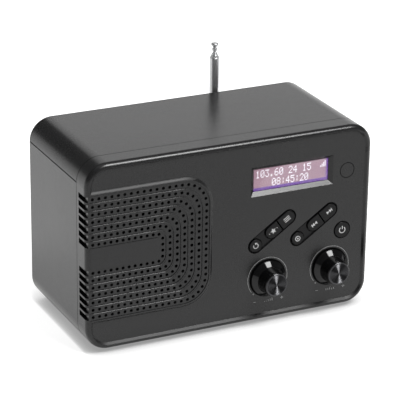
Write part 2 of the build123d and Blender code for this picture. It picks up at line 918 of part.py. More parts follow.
with BuildPart() as power_key:
    with BuildSketch(front_plane(key_front, half_w - power_right, -power_drop)):
        Circle(power_r)
    extrude(amount=-(flange_front - key_front))
    fillet(power_key.faces().sort_by(Axis.Y)[0].edges(), key_edge)
    with BuildSketch(front_plane(flange_front, half_w - power_right, -power_drop)):
        Circle(power_r + key_gap + key_flange)
    extrude(amount=-key_flange_t)
    with BuildSketch(front_plane(flange_back, half_w - power_right, -power_drop)):
        Circle(key_stem_r)
    extrude(amount=-(stem_end - flange_back))
save(power_key.part, "power_key")


def switch_planes(depth):
    planes = [front_plane(depth, half_w - power_right, -power_drop)]
    for row, kind in key_names.values():
        row_x, row_z = key_rows()[row]
        along = stem_place(kind)
        turn = math.radians(row_tilt)
        planes.append(
            front_plane(depth, row_x + along * math.cos(turn), row_z + along * math.sin(turn), row_tilt)
        )
    return planes


with BuildPart() as key_switches:
    for plane in switch_planes(board_front):
        with BuildSketch(plane):
            Rectangle(switch_w, switch_w)
        extrude(amount=switch_h)
        with BuildSketch(plane):
            Circle(plunger_r)
        extrude(amount=plunger_h)
save(key_switches.part, "key_switches")

# Control board
board_right = half_w - board_margin_x
board_high = half_h - board_margin_z
with BuildPart() as control_board:
    with BuildSketch(front_plane(board_front)):
        with Locations(((board_left + board_right) / 2, 0)):
            Rectangle(board_right - board_left, 2 * board_high)
        with Locations(*board_posts()):
            Circle(small_screw_r + fit_gap, mode=Mode.SUBTRACT)
    extrude(amount=-board_t)
save(control_board.part, "control_board")

with BuildPart() as board_screws:
    with BuildSketch(front_plane(board_back)):
        with Locations(*board_posts()):
            Circle(small_head_r)
    extrude(amount=-small_head_h)
    with BuildSketch(front_plane(board_back)):
        with Locations(*board_posts()):
            Circle(small_screw_r)
    extrude(amount=board_back - panel_back - panel_t)
save(board_screws.part, "board_screws")

# Knobs: a low flared foot and a tall boss with a metal disc, on a flatted shaft
knob_back = panel_recess - knob_lift
boss_front = panel_recess - boss_h + disc_t
shaft_front = boss_front + knob_cap
rotary_front = board_front - rotary_t
bushing_front = rotary_front - bushing_h
shaft_back = rotary_front + shaft_grip
disc_r = boss_r - disc_inset


def build_knob(x):
    with BuildPart() as knob:
        with BuildSketch(turning_plane(x, knob_z)):
            with BuildLine():
                Polyline(
                    (0, boss_front),
                    (boss_r, boss_front),
                    (flare_r, panel_recess - flare_h),
                    (knob_base_r, panel_recess - knob_edge_h),
                    (knob_base_r, knob_back),
                    (0, knob_back),
                    close=True,
                )
            make_face()
        revolve(axis=turning_axis(x, knob_z))
        rounds = knob.edges().filter_by(GeomType.CIRCLE).sort_by(Axis.Y)
        fillet(rounds[1], flare_round)
        widest = knob.edges().filter_by(GeomType.CIRCLE).sort_by(SortBy.RADIUS)[-2:]
        fillet(widest.sort_by(Axis.Y)[0], knob_round)
        with BuildSketch(front_plane(knob_back, x, knob_z)):
            Circle(shaft_r + fit_gap)
            with Locations((0, 2 * shaft_r - shaft_flat + fit_gap)):
                Rectangle(2 * shaft_r, 2 * shaft_r, mode=Mode.SUBTRACT)
        extrude(amount=knob_back - shaft_front, mode=Mode.SUBTRACT)
    return knob.part


def build_disc(x):
    with BuildPart() as disc:
        with BuildSketch(front_plane(boss_front, x, knob_z)):
            Circle(disc_r)
        extrude(amount=disc_t)
        chamfer(disc.faces().sort_by(Axis.Y)[0].edges(), disc_edge)
    return disc.part


def build_shaft(x):
    with BuildPart() as shaft:
        with BuildSketch(front_plane(shaft_back, x, knob_z)):
            Circle(shaft_r)
        extrude(amount=shaft_back - shaft_front - fit_gap)
        with BuildSketch(front_plane(knob_back, x, knob_z)):
            with Locations((0, 2 * shaft_r - shaft_flat)):
                Rectangle(2 * shaft_r, 2 * shaft_r)
        extrude(amount=knob_back - shaft_front, mode=Mode.SUBTRACT)
    return shaft.part


def build_rotary(x):
    with BuildPart() as rotary:
        with BuildSketch(front_plane(board_front, x, knob_z)):
            Rectangle(rotary_w, rotary_w)
        extrude(amount=rotary_t)
        with BuildSketch(front_plane(rotary_front, x, knob_z)):
            Circle(bushing_r)
        extrude(amount=bushing_h)
        with BuildSketch(front_plane(shaft_back + fit_gap, x, knob_z)):
            Circle(shaft_r + bearing_gap)
        extrude(amount=shaft_back + fit_gap - bushing_front, mode=Mode.SUBTRACT)
    return rotary.part


for word, x, rotary_name in (("volume", volume_x, "volume_pot"), ("tune", tune_x, "tune_encoder")):
    save(build_knob(x), f"{word}_knob")
    save(build_disc(x), f"{word}_knob_disc")
    save(build_shaft(x), f"{word}_shaft")
    save(build_rotary(x), rotary_name)

# Battery cells, contacts and door
cell_x = tray_x
cell_places = [
    tray_z - tray_h / 2 + cell_gap + cell_r + k * (2 * cell_r + cell_gap) for k in range(cell_count)
]
cell_depth = cab_d - rear_wall - cell_gap - cell_r
with BuildPart() as battery_cells:
    for k, height in enumerate(cell_places):
        way = 1 if k % 2 else -1
        with BuildSketch(Plane.YZ.offset(cell_x)):
            with Locations((rim_y + cell_depth, mid_z + height)):
                Circle(cell_r)
        extrude(amount=(cell_l - cell_nub_h) / 2, both=True)
        with BuildSketch(Plane.YZ.offset(cell_x + way * (cell_l - cell_nub_h) / 2)):
            with Locations((rim_y + cell_depth, mid_z + height)):
                Circle(cell_nub_r)
        extrude(amount=way * cell_nub_h)
save(battery_cells.part, "battery_cells")

contact_x = tray_w / 2 - contact_t / 2 - fit_gap
with BuildPart() as battery_contacts:
    for k, height in enumerate(cell_places):
        for side in (-1, 1):
            nub = side == (1 if k % 2 else -1)
            cell_end = cell_l / 2 - cell_nub_h / 2 + (cell_nub_h if nub else 0)
            reach = contact_x - cell_end - fit_gap
            with BuildSketch(Plane.YZ.offset(cell_x + side * contact_x)):
                with Locations((rim_y + cell_depth, mid_z + height)):
                    Rectangle(cell_r, cell_r)
            extrude(amount=contact_t / 2, both=True)
            with BuildSketch(Plane.YZ.offset(cell_x + side * contact_x)):
                with Locations((rim_y + cell_depth, mid_z + height)):
                    Circle(contact_bump)
            extrude(amount=-side * reach)
save(battery_contacts.part, "battery_contacts")

door_w = tray_w - 2 * part_gap
door_top = tray_z + tray_h / 2 - part_gap
with BuildPart() as battery_door:
    with BuildSketch(front_plane(cab_d - rear_wall)):
        with Locations((tray_x, (door_axis_z + door_top) / 2)):
            Rectangle(door_w, door_top - door_axis_z)
    extrude(amount=-rear_wall)
    with BuildSketch(Plane.YZ.offset(tray_x)):
        with Locations((rim_y + door_axis_depth, mid_z + door_axis_z)):
            Circle(rear_wall / 2)
    extrude(amount=door_w / 2, both=True)
    with BuildSketch(Plane.YZ.offset(tray_x)):
        with Locations((rim_y + door_axis_depth, mid_z + door_axis_z)):
            Circle(door_pin_r + fit_gap)
    extrude(amount=door_w / 2, both=True, mode=Mode.SUBTRACT)
    with BuildSketch(front_plane(cab_d)):
        for k in range(grip_count):
            with Locations((tray_x, door_top - grip_in - k * grip_pitch)):
                Rectangle(2 * notch_r, grip_w)
    extrude(amount=grip_deep, mode=Mode.SUBTRACT)
save(battery_door.part, "battery_door")

with BuildPart() as battery_door_pins:
    for side in (-1, 1):
        with BuildSketch(Plane.YZ.offset(tray_x + side * tray_w / 2)):
            with Locations((rim_y + door_axis_depth, mid_z + door_axis_z)):
                Circle(door_pin_r)
        extrude(amount=door_pin_l / 2 - fit_gap, both=True)
save(battery_door_pins.part, "battery_door_pins")

# Main board with its tuner can and the two sockets in the back
main_plane = Plane.XY.offset(mid_z + main_z)
main_y = rim_y + main_depth
with BuildPart() as main_board:
    with BuildSketch(main_plane):
        with Locations((main_x, main_y)):
            Rectangle(main_w, main_l)
        with Locations(*main_posts()):
            Circle(small_screw_r + fit_gap, mode=Mode.SUBTRACT)
    extrude(amount=board_t)
save(main_board.part, "main_board")

main_top_plane = Plane.XY.offset(mid_z + main_top)
with BuildPart() as main_board_screws:
    with BuildSketch(main_top_plane):
        with Locations(*main_posts()):
            Circle(small_head_r)
    extrude(amount=small_head_h)
    with BuildSketch(main_top_plane):
        with Locations(*main_posts()):
            Circle(small_screw_r)
    extrude(amount=-(board_t + main_lift - wall))
save(main_board_screws.part, "main_board_screws")

with BuildPart() as tuner_can:
    with BuildSketch(main_top_plane):
        with Locations((main_right - main_w + tuner_w / 2 + tuner_in, main_y)):
            Rectangle(tuner_w, tuner_l)
    extrude(amount=tuner_h)
    fillet(tuner_can.edges().group_by(Axis.Z)[-1], tuner_round)
save(tuner_can.part, "tuner_can")

socket_front = cab_d - rear_wall - main_back - jack_w
with BuildPart() as headphone_socket:
    with BuildSketch(front_plane(socket_front, jack_x, jack_z)):
        Rectangle(jack_w, jack_w)
    extrude(amount=-jack_w)
    with BuildSketch(front_plane(socket_front + jack_w, jack_x, jack_z)):
        Circle(jack_w / 2)
    extrude(amount=-(main_back + rear_wall - fit_gap))
    with BuildSketch(front_plane(cab_d, jack_x, jack_z)):
        Circle(jack_r)
    extrude(amount=jack_w + main_back, mode=Mode.SUBTRACT)
save(headphone_socket.part, "headphone_socket")

with BuildPart() as power_inlet:
    with BuildSketch(front_plane(cab_d - fit_gap, inlet_x, inlet_z)):
        SlotOverall(inlet_w + 2 * inlet_wall, inlet_h + 2 * inlet_wall)
    extrude(amount=inlet_l + rear_wall)
    with BuildSketch(front_plane(cab_d - fit_gap, inlet_x, inlet_z)):
        SlotOverall(inlet_w, inlet_h)
    extrude(amount=inlet_l + rear_wall - inlet_wall, mode=Mode.SUBTRACT)
    with BuildSketch(front_plane(cab_d - fit_gap - inlet_l - rear_wall, inlet_x, inlet_z)):
        Rectangle(tongue_w, tongue_t)
    extrude(amount=-(inlet_l + rear_wall - inlet_wall))
save(power_inlet.part, "power_inlet")

ribbon_z = -board_high + ribbon_bend
ribbon_end = main_depth
with BuildPart() as ribbon_cable:
    with BuildSketch(Plane.YZ.offset(ribbon_x)):
        with BuildLine():
            FilletPolyline(
                (rim_y + board_back, mid_z + ribbon_z),
                (rim_y + ribbon_end, mid_z + ribbon_z),
                (rim_y + ribbon_end, mid_z + main_top),
                radius=ribbon_bend,
            )
        trace(line_width=ribbon_t)
    extrude(amount=ribbon_w / 2, both=True)
save(ribbon_cable.part, "ribbon_cable")

# Telescopic antenna on the back: a swivelling fork, a tilting knuckle and nested tubes
ant_y = rear_y + ant_off
ant_pivot = mid_z + pivot_z
ear_in = knuckle_w / 2 + knuckle_side
mount_face = cab_d + fit_gap
with BuildPart() as antenna_mount:
    with BuildSketch(front_plane(mount_face, ant_x, pivot_z)):
        Circle(mount_r)
    extrude(amount=-mount_t)
    with BuildSketch(front_plane(mount_face, ant_x, pivot_z)):
        Circle(swivel_r)
    extrude(amount=rear_wall + washer_t + 2 * fit_gap)
    for side in (-1, 1):
        with BuildSketch(Plane.YZ.offset(ant_x + side * ear_in)):
            with Locations((ant_y, ant_pivot)):
                Circle(ear_round)
            with Locations(((rear_y + mount_t / 2 + ant_y) / 2, ant_pivot)):
                Rectangle(ant_off - mount_t / 2, 2 * ear_round)
        extrude(amount=side * ear_t)
    with BuildSketch(Plane.YZ.offset(ant_x)):
        with Locations((ant_y, ant_pivot)):
            Circle(pivot_r + fit_gap)
    extrude(amount=mount_r, both=True, mode=Mode.SUBTRACT)
save(antenna_mount.part, "antenna_mount")

with BuildPart() as antenna_washer:
    with BuildSketch(front_plane(cab_d - rear_wall - fit_gap, ant_x, pivot_z)):
        Circle(washer_r)
        Circle(swivel_r + fit_gap / 2, mode=Mode.SUBTRACT)
    extrude(amount=washer_t)
save(antenna_washer.part, "antenna_washer")

with BuildPart() as antenna_pin:
    with BuildSketch(Plane.YZ.offset(ant_x)):
        with Locations((ant_y, ant_pivot)):
            Circle(pivot_r)
    extrude(amount=ear_in + ear_t, both=True)
save(antenna_pin.part, "antenna_pin")

tube_foot = ant_pivot + knuckle_rise
with BuildPart() as antenna_knuckle:
    with BuildSketch(Plane.YZ.offset(ant_x)):
        with Locations((ant_y, ant_pivot)):
            Circle(knuckle_r)
        with Locations((ant_y, ant_pivot + neck_h / 2)):
            Rectangle(neck_w, neck_h)
    extrude(amount=knuckle_w / 2, both=True)
    with BuildSketch(Plane(origin=(ant_x, ant_y, ant_pivot + neck_h))):
        Circle(collar_r)
    extrude(amount=collar_h)
    with BuildSketch(Plane(origin=(ant_x, ant_y, tube_foot))):
        Circle(tube_r - tube_wall - fit_gap)
    extrude(amount=spigot_h)
    with BuildSketch(Plane.YZ.offset(ant_x)):
        with Locations((ant_y, ant_pivot)):
            Circle(pivot_r + bearing_gap)
    extrude(amount=knuckle_w, both=True, mode=Mode.SUBTRACT)
save(antenna_knuckle.part, "antenna_knuckle")


def build_tube(low, high, outside, inside):
    with BuildPart() as tube:
        with BuildSketch(Plane(origin=(ant_x, ant_y, low))):
            Circle(outside)
            if inside > 0:
                Circle(inside, mode=Mode.SUBTRACT)
        extrude(amount=high - low)
        chamfer(tube.faces().sort_by(Axis.Z)[-1].outer_wire().edges(), tube_wall / 2)
    return tube.part


tube_top = tube_foot + tube_l
save(build_tube(tube_foot, tube_top, tube_r, tube_r - tube_wall), "antenna_outer_tube")
section_r = tube_r
section_low = tube_foot + spigot_h
section_names = ("antenna_section_2", "antenna_section_3", "antenna_section_4", "antenna_rod")
for k, name in enumerate(section_names):
    section_r = section_r - tube_wall - tube_play
    section_low = section_low + section_step
    is_rod = k == len(section_names) - 1
    bore = 0 if is_rod else section_r - tube_wall
    top = tube_top + (k + 1) * section_step + (tip_grip if is_rod else 0)
    save(build_tube(section_low, top, section_r, bore), name)
rod_r = section_r
rod_top = tube_top + len(section_names) * section_step

tip_plane = Plane(origin=(ant_x, ant_y, rod_top), x_dir=(1, 0, 0), z_dir=(0, -1, 0))
neck_top = tip_bead_h + tip_neck
cone_top = neck_top + tip_cone_h
with BuildPart() as antenna_tip:
    with BuildSketch(tip_plane):
        with BuildLine():
            Polyline(
                (0, 0),
                (tip_bead_r, 0),
                (tip_bead_r, tip_bead_h),
                (tip_neck_r, tip_bead_h),
                (tip_neck_r, neck_top),
                (tip_r, cone_top),
                (tip_r, cone_top + tip_h),
                (0, cone_top + tip_h),
                close=True,
            )
        make_face()
    revolve(axis=Axis((ant_x, ant_y, rod_top), (0, 0, 1)))
    fillet(antenna_tip.faces().sort_by(Axis.Z)[-1].edges(), tip_round)
    with BuildSketch(Plane(origin=(ant_x, ant_y, rod_top))):
        Circle(rod_r + fit_gap / 2)
    extrude(amount=tip_grip + fit_gap, mode=Mode.SUBTRACT)
save(antenna_tip.part, "antenna_tip")

print("rim y", round(rim_y, 3), "middle height", round(mid_z, 3))
print("antenna pivot", round(ant_x, 3), round(ant_y, 3), round(ant_pivot, 3))
print("door axis", round(rim_y + door_axis_depth, 3), round(mid_z + door_axis_z, 3))
print("knobs", round(volume_x, 3), round(tune_x, 3), round(mid_z + knob_z, 3))
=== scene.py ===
import math
import bmesh
import bpy
from mathutils import Matrix, Vector


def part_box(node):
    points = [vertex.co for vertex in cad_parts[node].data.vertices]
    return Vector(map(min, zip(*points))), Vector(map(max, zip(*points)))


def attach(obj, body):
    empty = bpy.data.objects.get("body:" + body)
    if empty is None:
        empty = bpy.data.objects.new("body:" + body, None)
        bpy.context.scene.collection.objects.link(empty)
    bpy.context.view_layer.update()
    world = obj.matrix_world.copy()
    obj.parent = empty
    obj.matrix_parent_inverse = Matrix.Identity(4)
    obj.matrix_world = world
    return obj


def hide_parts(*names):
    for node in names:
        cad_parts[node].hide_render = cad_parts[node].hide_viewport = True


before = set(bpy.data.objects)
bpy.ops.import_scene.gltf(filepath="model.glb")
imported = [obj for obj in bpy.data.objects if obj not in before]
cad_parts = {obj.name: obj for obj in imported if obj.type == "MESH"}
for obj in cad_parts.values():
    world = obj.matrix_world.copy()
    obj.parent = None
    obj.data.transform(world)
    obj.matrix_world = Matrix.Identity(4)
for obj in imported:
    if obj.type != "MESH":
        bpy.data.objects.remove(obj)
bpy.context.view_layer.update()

mm = 0.001
scene = bpy.context.scene


def middleOf(node):
    low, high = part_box(node)
    return (low + high) / 2


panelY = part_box("sensor_window")[0].y  # the sunken front panel
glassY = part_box("lcd_panel")[0].y  # face of the display glass


# Node helpers

def addNode(tree, kind, **settings):
    node = tree.nodes.new(kind)
    for key, value in settings.items():
        setattr(node, key, value)
    return node


def fill(tree, socket, value):
    # Links another node's socket, or sets a plain value.
    if isinstance(value, bpy.types.NodeSocket):
        tree.links.new(value, socket)
    else:
        socket.default_value = value


def feed(tree, node, **values):
    # Underscores in a name stand for the spaces in the socket's name.
    for key, value in values.items():
        fill(tree, node.inputs[key.replace("_", " ")], value)
    return node


def calc(tree, operation, *values):
    node = addNode(tree, "ShaderNodeMath", operation=operation)
    for socket, value in zip(node.inputs, values):
        fill(tree, socket, value)
    return node.outputs[0]


def spread(tree, value, fromLow, fromHigh, toLow=0.0, toHigh=1.0):
    node = addNode(tree, "ShaderNodeMapRange")
    feed(tree, node, Value=value, From_Min=fromLow, From_Max=fromHigh, To_Min=toLow, To_Max=toHigh)
    return node.outputs[0]


def blendColour(tree, factor, first, second):
    # A mix node keeps its colours at inputs 6 and 7 and their blend at output 2.
    node = addNode(tree, "ShaderNodeMix", data_type="RGBA")
    for index, value in ((0, factor), (6, first), (7, second)):
        fill(tree, node.inputs[index], value)
    return node.outputs[2]


def noise(tree, place, scale, detail=2.0):
    node = addNode(tree, "ShaderNodeTexNoise")
    return feed(tree, node, Vector=place, Scale=scale, Detail=detail).outputs["Fac"]


def axes(tree, place):
    split = addNode(tree, "ShaderNodeSeparateXYZ")
    tree.links.new(place, split.inputs[0])
    return split.outputs


def opaque(colour):
    return (*colour, 1.0)


def grey(level):
    return (level, level, level, 1.0)


def startGroup(name, inputs, outputs):
    group = bpy.data.node_groups.new(name, "ShaderNodeTree")
    kinds = {"vector": "NodeSocketVector", "number": "NodeSocketFloat", "colour": "NodeSocketColor"}
    for label, kind in inputs:
        group.interface.new_socket(label, in_out="INPUT", socket_type=kinds[kind])
    for label, kind in outputs:
        group.interface.new_socket(label, in_out="OUTPUT", socket_type=kinds[kind])
    return group, addNode(group, "NodeGroupInput").outputs, addNode(group, "NodeGroupOutput").inputs


def makeMouldGrain():
    # Spark-eroded mould skin: fine pebbles for the bump, slow patches for colour and gloss.
    look = dict(pebbleDetail=3.0, pebbleRough=0.06, mean=0.5)
    inputs = (
        ("Place", "vector"), ("Grain", "number"), ("Patch", "number"), ("Rough", "number"),
        ("Rough Spread", "number"), ("Colour", "colour"), ("Tint Spread", "number"),
    )
    outputs = (("Colour", "colour"), ("Rough", "number"), ("Height", "number"))
    group, given, result = startGroup("mouldGrain", inputs, outputs)
    pebble = noise(group, given["Place"], given["Grain"], look["pebbleDetail"])
    speckle = calc(group, "SUBTRACT", pebble, look["mean"])
    patch = calc(group, "SUBTRACT", noise(group, given["Place"], given["Patch"]), look["mean"])
    rough = calc(group, "MULTIPLY_ADD", patch, given["Rough Spread"], given["Rough"])
    rough = calc(group, "MULTIPLY_ADD", speckle, look["pebbleRough"], rough)
    bright = calc(group, "MULTIPLY_ADD", patch, given["Tint Spread"], 1.0)
    tint = addNode(group, "ShaderNodeHueSaturation")
    feed(group, tint, Value=bright, Color=given["Colour"])
    group.links.new(tint.outputs[0], result["Colour"])
    group.links.new(rough, result["Rough"])
    group.links.new(pebble, result["Height"])
    return group


def makeHandling():
    # Faint finger smears and a few dust specks.
    look = dict(smearDetail=4.0, smear=(0.48, 0.68), speck=(0.05, 0.11))
    inputs = (("Place", "vector"), ("Smear", "number"), ("Dust", "number"))
    outputs = (("Smear Mask", "number"), ("Dust Mask", "number"))
    group, given, result = startGroup("handling", inputs, outputs)
    cloud = noise(group, given["Place"], given["Smear"], look["smearDetail"])
    smear = spread(group, cloud, *look["smear"])
    speck = addNode(group, "ShaderNodeTexVoronoi")
    feed(group, speck, Vector=given["Place"], Scale=given["Dust"])
    dust = spread(group, speck.outputs["Distance"], *look["speck"], toLow=1.0, toHigh=0.0)
    group.links.new(smear, result["Smear Mask"])
    group.links.new(dust, result["Dust Mask"])
    return group


def makeDrawnLines():
    # Long scratches left by rolling, drawing or turning.
    inputs = (("Place", "vector"), ("Stretch", "vector"), ("Lines", "number"))
    group, given, result = startGroup("drawnLines", inputs, (("Height", "number"),))
    pulled = addNode(group, "ShaderNodeVectorMath", operation="MULTIPLY")
    group.links.new(given["Place"], pulled.inputs[0])
    group.links.new(given["Stretch"], pulled.inputs[1])
    group.links.new(noise(group, pulled.outputs[0], given["Lines"]), result["Height"])
    return group


def makeWeave():
    look = dict(wander=0.6)
    inputs = (("Place", "vector"), ("Threads", "number"))
    group, given, result = startGroup("plainWeave", inputs, (("Height", "number"),))
    heights = []
    for direction in ("X", "Z"):
        wave = addNode(group, "ShaderNodeTexWave", wave_type="BANDS", bands_direction=direction)
        feed(group, wave, Vector=given["Place"], Scale=given["Threads"], Distortion=look["wander"])
        heights.append(wave.outputs["Fac"])
    group.links.new(calc(group, "MAXIMUM", *heights), result["Height"])
    return group


mouldGrain = makeMouldGrain()
handling = makeHandling()
drawnLines = makeDrawnLines()
plainWeave = makeWeave()


def useGroup(tree, group, **values):
    node = addNode(tree, "ShaderNodeGroup", node_tree=group)
    return feed(tree, node, **values).outputs


def startMaterial(name):
    material = bpy.data.materials.new(name)
    material.use_nodes = True
    tree = material.node_tree
    shader = tree.nodes["Principled BSDF"]
    place = addNode(tree, "ShaderNodeTexCoord").outputs["Object"]
    return material, tree, shader, place


def addBump(tree, shader, height, depth):
    bump = addNode(tree, "ShaderNodeBump")
    feed(tree, bump, Height=height, Distance=depth * mm, Strength=1.0)
    tree.links.new(bump.outputs[0], shader.inputs["Normal"])


def mouldSkin(tree, place, look, colour):
    return useGroup(
        tree, mouldGrain, Place=place, Grain=look["grain"], Patch=look["patch"],
        Rough=look["rough"], Rough_Spread=look["spread"], Colour=colour, Tint_Spread=look["tint"],
    )


# Moulded plastics and their like: colour, gloss, grain per metre and bump depth in mm
mouldedBase = dict(patch=24.0, ior=1.5, shine=0.5)  # where a finish has no value of its own
mouldedFinishes = {
    "cabinet": dict(
        colour=(0.011, 0.011, 0.0113), rough=0.27, spread=0.06, grain=2600, depth=0.006, tint=0.10,
        ior=1.43, coarse=dict(
            rough=0.20, lipTop=4.8, lipEnd=8.0, padLow=38.4, padHigh=41.4, padSide=87.6, proud=0.02,
        ),
    ),
    "key_plastic": dict(
        colour=(0.003, 0.003, 0.0033), rough=0.34, spread=0.06, grain=3600, depth=0.006, tint=0.08,
        shine=0.20,
    ),
    "black_plastic": dict(
        colour=(0.018, 0.018, 0.019), rough=0.42, spread=0.10, grain=2600, depth=0.010, tint=0.10,
    ),
    "white_plastic": dict(
        colour=(0.78, 0.78, 0.75), rough=0.38, spread=0.08, grain=2000, depth=0.006, tint=0.05,
    ),
    "rubber": dict(
        colour=(0.014, 0.014, 0.014), rough=0.78, spread=0.16, grain=1500, depth=0.030, tint=0.30,
    ),
    "foam": dict(
        colour=(0.030, 0.030, 0.032), rough=0.95, spread=0.06, grain=900, depth=0.200, tint=0.35,
    ),
    "paper_cone": dict(
        colour=(0.020, 0.019, 0.018), rough=0.85, spread=0.15, grain=1200, depth=0.060, tint=0.45,
    ),
    "magnet": dict(
        colour=(0.045, 0.044, 0.043), rough=0.62, spread=0.20, grain=1800, depth=0.030, tint=0.30,
    ),
}
jointShadeFinish = dict(  # painted shade: near-black for sheets laid where gaps, pocket edges and knob edges lie in shade
    colour=(0.001, 0.001, 0.001), rough=0.60, spread=0.05, grain=3600, depth=0.002, tint=0.05,
    shine=0.04,
)


def coarseMask(tree, place, coarse):
    # The sloped lip below the panel and the top slope of the grille pad, in front of the panel.
    spot = axes(tree, place)
    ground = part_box("front_cabinet")[0].z
    middle = middleOf("front_cabinet").z
    lipTop, lipEnd = (ground + coarse[key] * mm for key in ("lipTop", "lipEnd"))
    lip = spread(tree, spot["Z"], lipTop, lipEnd, 1.0, 0.0)
    above = calc(tree, "GREATER_THAN", spot["Z"], middle + coarse["padLow"] * mm)
    below = calc(tree, "LESS_THAN", spot["Z"], middle + coarse["padHigh"] * mm)
    within = calc(tree, "LESS_THAN", calc(tree, "ABSOLUTE", spot["X"]), coarse["padSide"] * mm)
    pad = calc(tree, "MULTIPLY", calc(tree, "MULTIPLY", above, below), within)
    inFront = calc(tree, "LESS_THAN", spot["Y"], panelY - coarse["proud"] * mm)
    return calc(tree, "MULTIPLY", calc(tree, "MAXIMUM", lip, pad), inFront)


def makeMoulded(name, finish):
    look = {**mouldedBase, **finish}
    material, tree, shader, place = startMaterial(name)
    grain = mouldSkin(tree, place, look, opaque(look["colour"]))
    rough = grain["Rough"]
    if "coarse" in look:
        mask = coarseMask(tree, place, look["coarse"])
        rough = calc(tree, "MULTIPLY_ADD", mask, look["coarse"]["rough"], rough)
    feed(tree, shader, Base_Color=grain["Colour"], Roughness=rough)
    feed(tree, shader, IOR=look["ior"], Specular_IOR_Level=look["shine"])
    addBump(tree, shader, grain["Height"], look["depth"])
    return material


# Metals: colour, gloss, the stretch of their drawn lines and bump depth in mm
metalFinishes = {
    "chrome": dict(
        colour=(0.50, 0.505, 0.51), rough=0.33, stretch=(1, 1, 0.02), lines=900, depth=0.0012,
    ),
    "steel": dict(
        colour=(0.46, 0.46, 0.47), rough=0.30, stretch=(1, 1, 1), lines=1500, depth=0.004,
    ),
    "tin": dict(
        colour=(0.66, 0.66, 0.65), rough=0.32, stretch=(0.05, 1, 1), lines=700, depth=0.003,
    ),
    "nickel": dict(
        colour=(0.62, 0.58, 0.52), rough=0.24, stretch=(1, 1, 0.1), lines=1200, depth=0.002,
    ),
    "copper": dict(
        colour=(0.72, 0.31, 0.16), rough=0.28, stretch=(0.02, 1, 0.02), lines=2600, depth=0.020,
    ),
}
metalWear = dict(
    smear=160.0, dust=700.0, smearRough=0.07, lineRough=0.05, dustColour=(0.30, 0.29, 0.28),
)


def makeMetal(name, look):
    material, tree, shader, place = startMaterial(name)
    lines = useGroup(
        tree, drawnLines, Place=place, Stretch=look["stretch"], Lines=look["lines"],
    )["Height"]
    wear = metalWear
    touch = useGroup(tree, handling, Place=place, Smear=wear["smear"], Dust=wear["dust"])
    rough = calc(tree, "MULTIPLY_ADD", touch["Smear Mask"], wear["smearRough"], look["rough"])
    rough = calc(tree, "MULTIPLY_ADD", lines, wear["lineRough"], rough)
    tint = blendColour(tree, touch["Dust Mask"], opaque(look["colour"]), opaque(wear["dustColour"]))
    feed(tree, shader, Base_Color=tint, Metallic=1.0, Roughness=rough)
    addBump(tree, shader, lines, look["depth"])
    return material


def makeKnobGloss():
    look = dict(
        colour=(0.003, 0.003, 0.0033), rough=0.07, ior=1.36, smear=120.0, smearRough=0.05,
        dust=420.0, dustLevel=0.020,
    )
    material, tree, shader, place = startMaterial("knobGloss")
    touch = useGroup(tree, handling, Place=place, Smear=look["smear"], Dust=look["dust"])
    rough = calc(tree, "MULTIPLY_ADD", touch["Smear Mask"], look["smearRough"], look["rough"])
    tint = blendColour(tree, touch["Dust Mask"], opaque(look["colour"]), grey(look["dustLevel"]))
    feed(tree, shader, Base_Color=tint, Roughness=rough, IOR=look["ior"])
    return material


def makeSpunMetal():
    # Dark anodised metal with the marks of turning, which run round along the v of its own UV map.
    look = dict(
        dark=(0.044, 0.044, 0.046), light=(0.066, 0.066, 0.069), rough=0.27, lines=90.0,
        stretch=(1.0, 0.01, 1.0), lineRough=0.06, depth=0.0005,
    )
    material, tree, shader, _ = startMaterial("spunMetal")
    uv = addNode(tree, "ShaderNodeUVMap", uv_map="turning").outputs[0]
    rings = useGroup(
        tree, drawnLines, Place=uv, Stretch=look["stretch"], Lines=look["lines"],
    )["Height"]
    rough = calc(tree, "MULTIPLY_ADD", rings, look["lineRough"], look["rough"])
    tint = blendColour(tree, rings, opaque(look["dark"]), opaque(look["light"]))
    feed(tree, shader, Base_Color=tint, Metallic=1.0, Roughness=rough)
    addBump(tree, shader, rings, look["depth"])
    return material


def makeClearLens():
    look = dict(rough=0.02, ior=1.49, smear=60.0, smearRough=0.03, dust=500.0)
    material, tree, shader, place = startMaterial("clearLens")
    touch = useGroup(tree, handling, Place=place, Smear=look["smear"], Dust=look["dust"])
    rough = calc(tree, "MULTIPLY_ADD", touch["Smear Mask"], look["smearRough"], look["rough"])
    feed(tree, shader, Base_Color=grey(1.0), Roughness=rough, IOR=look["ior"])
    feed(tree, shader, Transmission_Weight=1.0)
    return material


def makeLcdGlass():
    look = dict(
        colour=(0.030, 0.026, 0.045), grain=4000.0, patch=60.0, rough=0.16, spread=0.05, tint=0.2,
        ior=1.5,
    )
    material, tree, shader, place = startMaterial("lcdGlass")
    grain = mouldSkin(tree, place, look, opaque(look["colour"]))
    feed(tree, shader, Base_Color=grain["Colour"], Roughness=grain["Rough"], IOR=look["ior"])
    return material


def makeCircuitBoard():
    # Solder mask over copper: tracks show as a lighter, slightly raised green.
    look = dict(
        mask=(0.010, 0.075, 0.030), track=(0.022, 0.150, 0.055), pitch=110.0, offset=0.37,
        squash=0.7, trackW=0.035, trackSoft=0.1, depth=0.035, grain=1500.0, patch=40.0, rough=0.30,
        spread=0.10, tint=0.15, ior=1.5,
    )
    material, tree, shader, place = startMaterial("circuitBoard")
    turn = addNode(tree, "ShaderNodeMapping")
    feed(tree, turn, Vector=place, Rotation=(math.radians(90), 0, 0))
    brick = addNode(tree, "ShaderNodeTexBrick", offset=look["offset"], squash=look["squash"])
    feed(tree, brick, Vector=turn.outputs[0], Scale=look["pitch"])
    feed(tree, brick, Mortar_Size=look["trackW"], Mortar_Smooth=look["trackSoft"])
    tracks = brick.outputs["Fac"]
    tint = blendColour(tree, tracks, opaque(look["mask"]), opaque(look["track"]))
    grain = mouldSkin(tree, place, look, tint)
    feed(tree, shader, Base_Color=grain["Colour"], Roughness=grain["Rough"], IOR=look["ior"])
    addBump(tree, shader, tracks, look["depth"])
    return material


